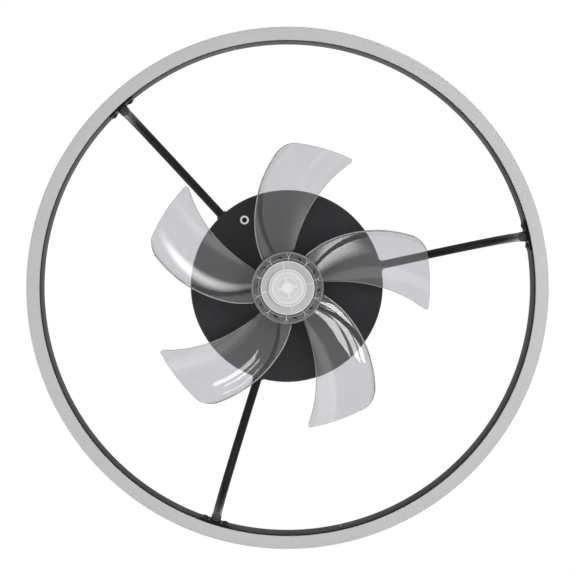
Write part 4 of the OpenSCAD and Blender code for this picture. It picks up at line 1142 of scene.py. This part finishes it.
def fade_out(lamp, along, across):
    """Lets a lamp's glow fade to its ends and its sides, each over a share of the half length."""
    lamp.data.use_nodes = True
    tree = lamp.data.node_tree
    place = add(tree, "ShaderNodeNewGeometry")
    split = add(tree, "ShaderNodeSeparateXYZ")
    link(tree, place.outputs["Parametric"], split.inputs[0])
    glow = []
    for axis, share in (("X", along), ("Y", across)):
        off = combine(tree, "SUBTRACT", split.outputs[axis], 0.5)
        fall = add(
            tree, "ShaderNodeMapRange", interpolation_type="SMOOTHSTEP",
            From_Min=0.5, From_Max=0.499 - share / 2,
        )
        link(tree, combine(tree, "ABSOLUTE", off), fall.inputs["Value"])
        glow.append(fall.outputs["Result"])
    link(tree, combine(tree, "MULTIPLY", *glow), tree.nodes["Emission"].inputs["Strength"])


def looked_at(tree):
    """A value that is 1 where the eye, a mirror or a clear piece looks, and 0 for spread light."""
    path = tree.nodes.new("ShaderNodeLightPath")
    seen = combine(tree, "MAXIMUM", path.outputs["Is Camera Ray"], path.outputs["Is Glossy Ray"])
    return combine(tree, "MAXIMUM", seen, path.outputs["Is Transmission Ray"])


def white_room():
    """A world that is white where it is looked at, and gives soft light elsewhere."""
    world = bpy.data.worlds.new("white room")
    bpy.context.scene.world = world
    world.use_nodes = True
    tree = world.node_tree
    tree.nodes.clear()
    out = tree.nodes.new("ShaderNodeOutputWorld")
    seen = add(tree, "ShaderNodeBackground", Color=(1, 1, 1, 1), Strength=1.0)
    lit = add(tree, "ShaderNodeBackground", Color=(1, 1, 1, 1), Strength=ROOM_GLOW)
    mix = tree.nodes.new("ShaderNodeMixShader")
    link(tree, looked_at(tree), mix.inputs["Fac"])
    link(tree, lit.outputs[0], mix.inputs[1])
    link(tree, seen.outputs[0], mix.inputs[2])
    link(tree, mix.outputs[0], out.inputs["Surface"])


def floor():
    """The pale floor far below the fan, which glows a little where it is looked at."""
    bm = bmesh.new()
    place = Matrix.Translation((0, 0, FLOOR_Z))
    bmesh.ops.create_grid(bm, x_segments=1, y_segments=1, size=FLOOR_SIZE, matrix=place)
    mesh = new_mesh("floor", bm)
    pale = finish("pale floor", grey(0.86), grey(0.84), 1.5, (0.7, 0.8), skin=(60, 0.05))
    tree = pale.node_tree
    lift = combine(tree, "MULTIPLY", looked_at(tree), FLOOR_LIFT)
    link(tree, lift, tree.nodes["Principled BSDF"].inputs["Emission Strength"])
    mesh.materials.append(pale)
    plane = placed("floor", mesh)


def mirror_spot(index, u, s):
    """The place that the camera sees mirrored at a point of a blade, PANEL_AWAY from it."""
    turn = evenly(BLADE_COUNT, IMPELLER_PHASE)[index].to_3x3()
    along = blade_point(u + MIRROR_STEP, s) - blade_point(u - MIRROR_STEP, s)
    across = blade_point(u, s + MIRROR_STEP) - blade_point(u, s - MIRROR_STEP)
    at = turn @ blade_point(u, s)
    normal = (turn @ along.cross(across)).normalized()
    return at + PANEL_AWAY * (at - EYE).normalized().reflect(normal)


def strip(name, index, start, end, width, glow, along=0.0, across=0.2):
    """A long soft box that shows only in gloss.

    The blade of this index mirrors it to the camera from start to end, each (u, s) on the blade.
    along and across are the shares over which its glow fades.
    """
    first = mirror_spot(index, *start)
    last = mirror_spot(index, *end)
    middle = (first + last) / 2
    length = (last - first).length
    lamp = soft_light(name, middle, (length, width), glow * math.pi * length * width)
    out = (middle - LAMP_AIM).normalized()
    run = (last - first - out * out.dot(last - first)).normalized()
    turn = Matrix((run, out.cross(run), out)).transposed().to_4x4()
    lamp.matrix_world = Matrix.Translation(middle) @ turn
    lamp.visible_diffuse = False
    fade_out(lamp, along, across)


white_room()
floor()
soft_light("key", (0.9, -0.5, -1.7), (0.9, 0.9), 16.5).visible_glossy = False
soft_light("fill", (-1.0, 0.7, -1.5), (1.2, 1.2), 9).visible_glossy = False
soft_light("top", (0.5, 0.8, 1.6), (1.5, 1.5), 14)
strip("front band", 0, (0.0, 0.05), (1.0, 0.12), 1.0, 1.2, 0.1, 0.5)
strip("first strip", 0, (0.0, 0.48), (0.46, 0.62), 0.29, 12, 0.0, 0.05)
strip("second strip", 0, (0.0, 0.63), (0.6, 0.78), 0.23, 12, 0.0, 0.05)
strip("third strip", 0, (0.0, 0.77), (0.65, 0.87), 0.17, 12, 0.0, 0.05)
strip("edge strip", 0, (0.1, 0.93), (0.55, 0.95), 0.05, 6)
strip("left band", 1, (0.0, 0.1), (0.6, 0.14), 0.9, 0.6, 0.2, 0.5)
strip("left strip 1", 1, (0.36, 0.66), (0.8, 0.7), 0.26, 9, 0.0, 0.05)
strip("left strip 2", 1, (0.38, 0.76), (0.75, 0.79), 0.1, 8, 0.0, 0.05)
strip("left strip 3", 1, (0.4, 0.87), (0.85, 0.9), 0.06, 6, 0.3)
strip("soft strip", 2, (0.0, 0.57), (1.0, 0.69), 0.8, 13, 0.8, 1.0)
strip("right strip", 4, (-0.2, 0.35), (0.3, 0.45), 0.7, 9, 1.0, 0.8)
camera()

scene = bpy.context.scene
scene.view_settings.view_transform = "Standard"
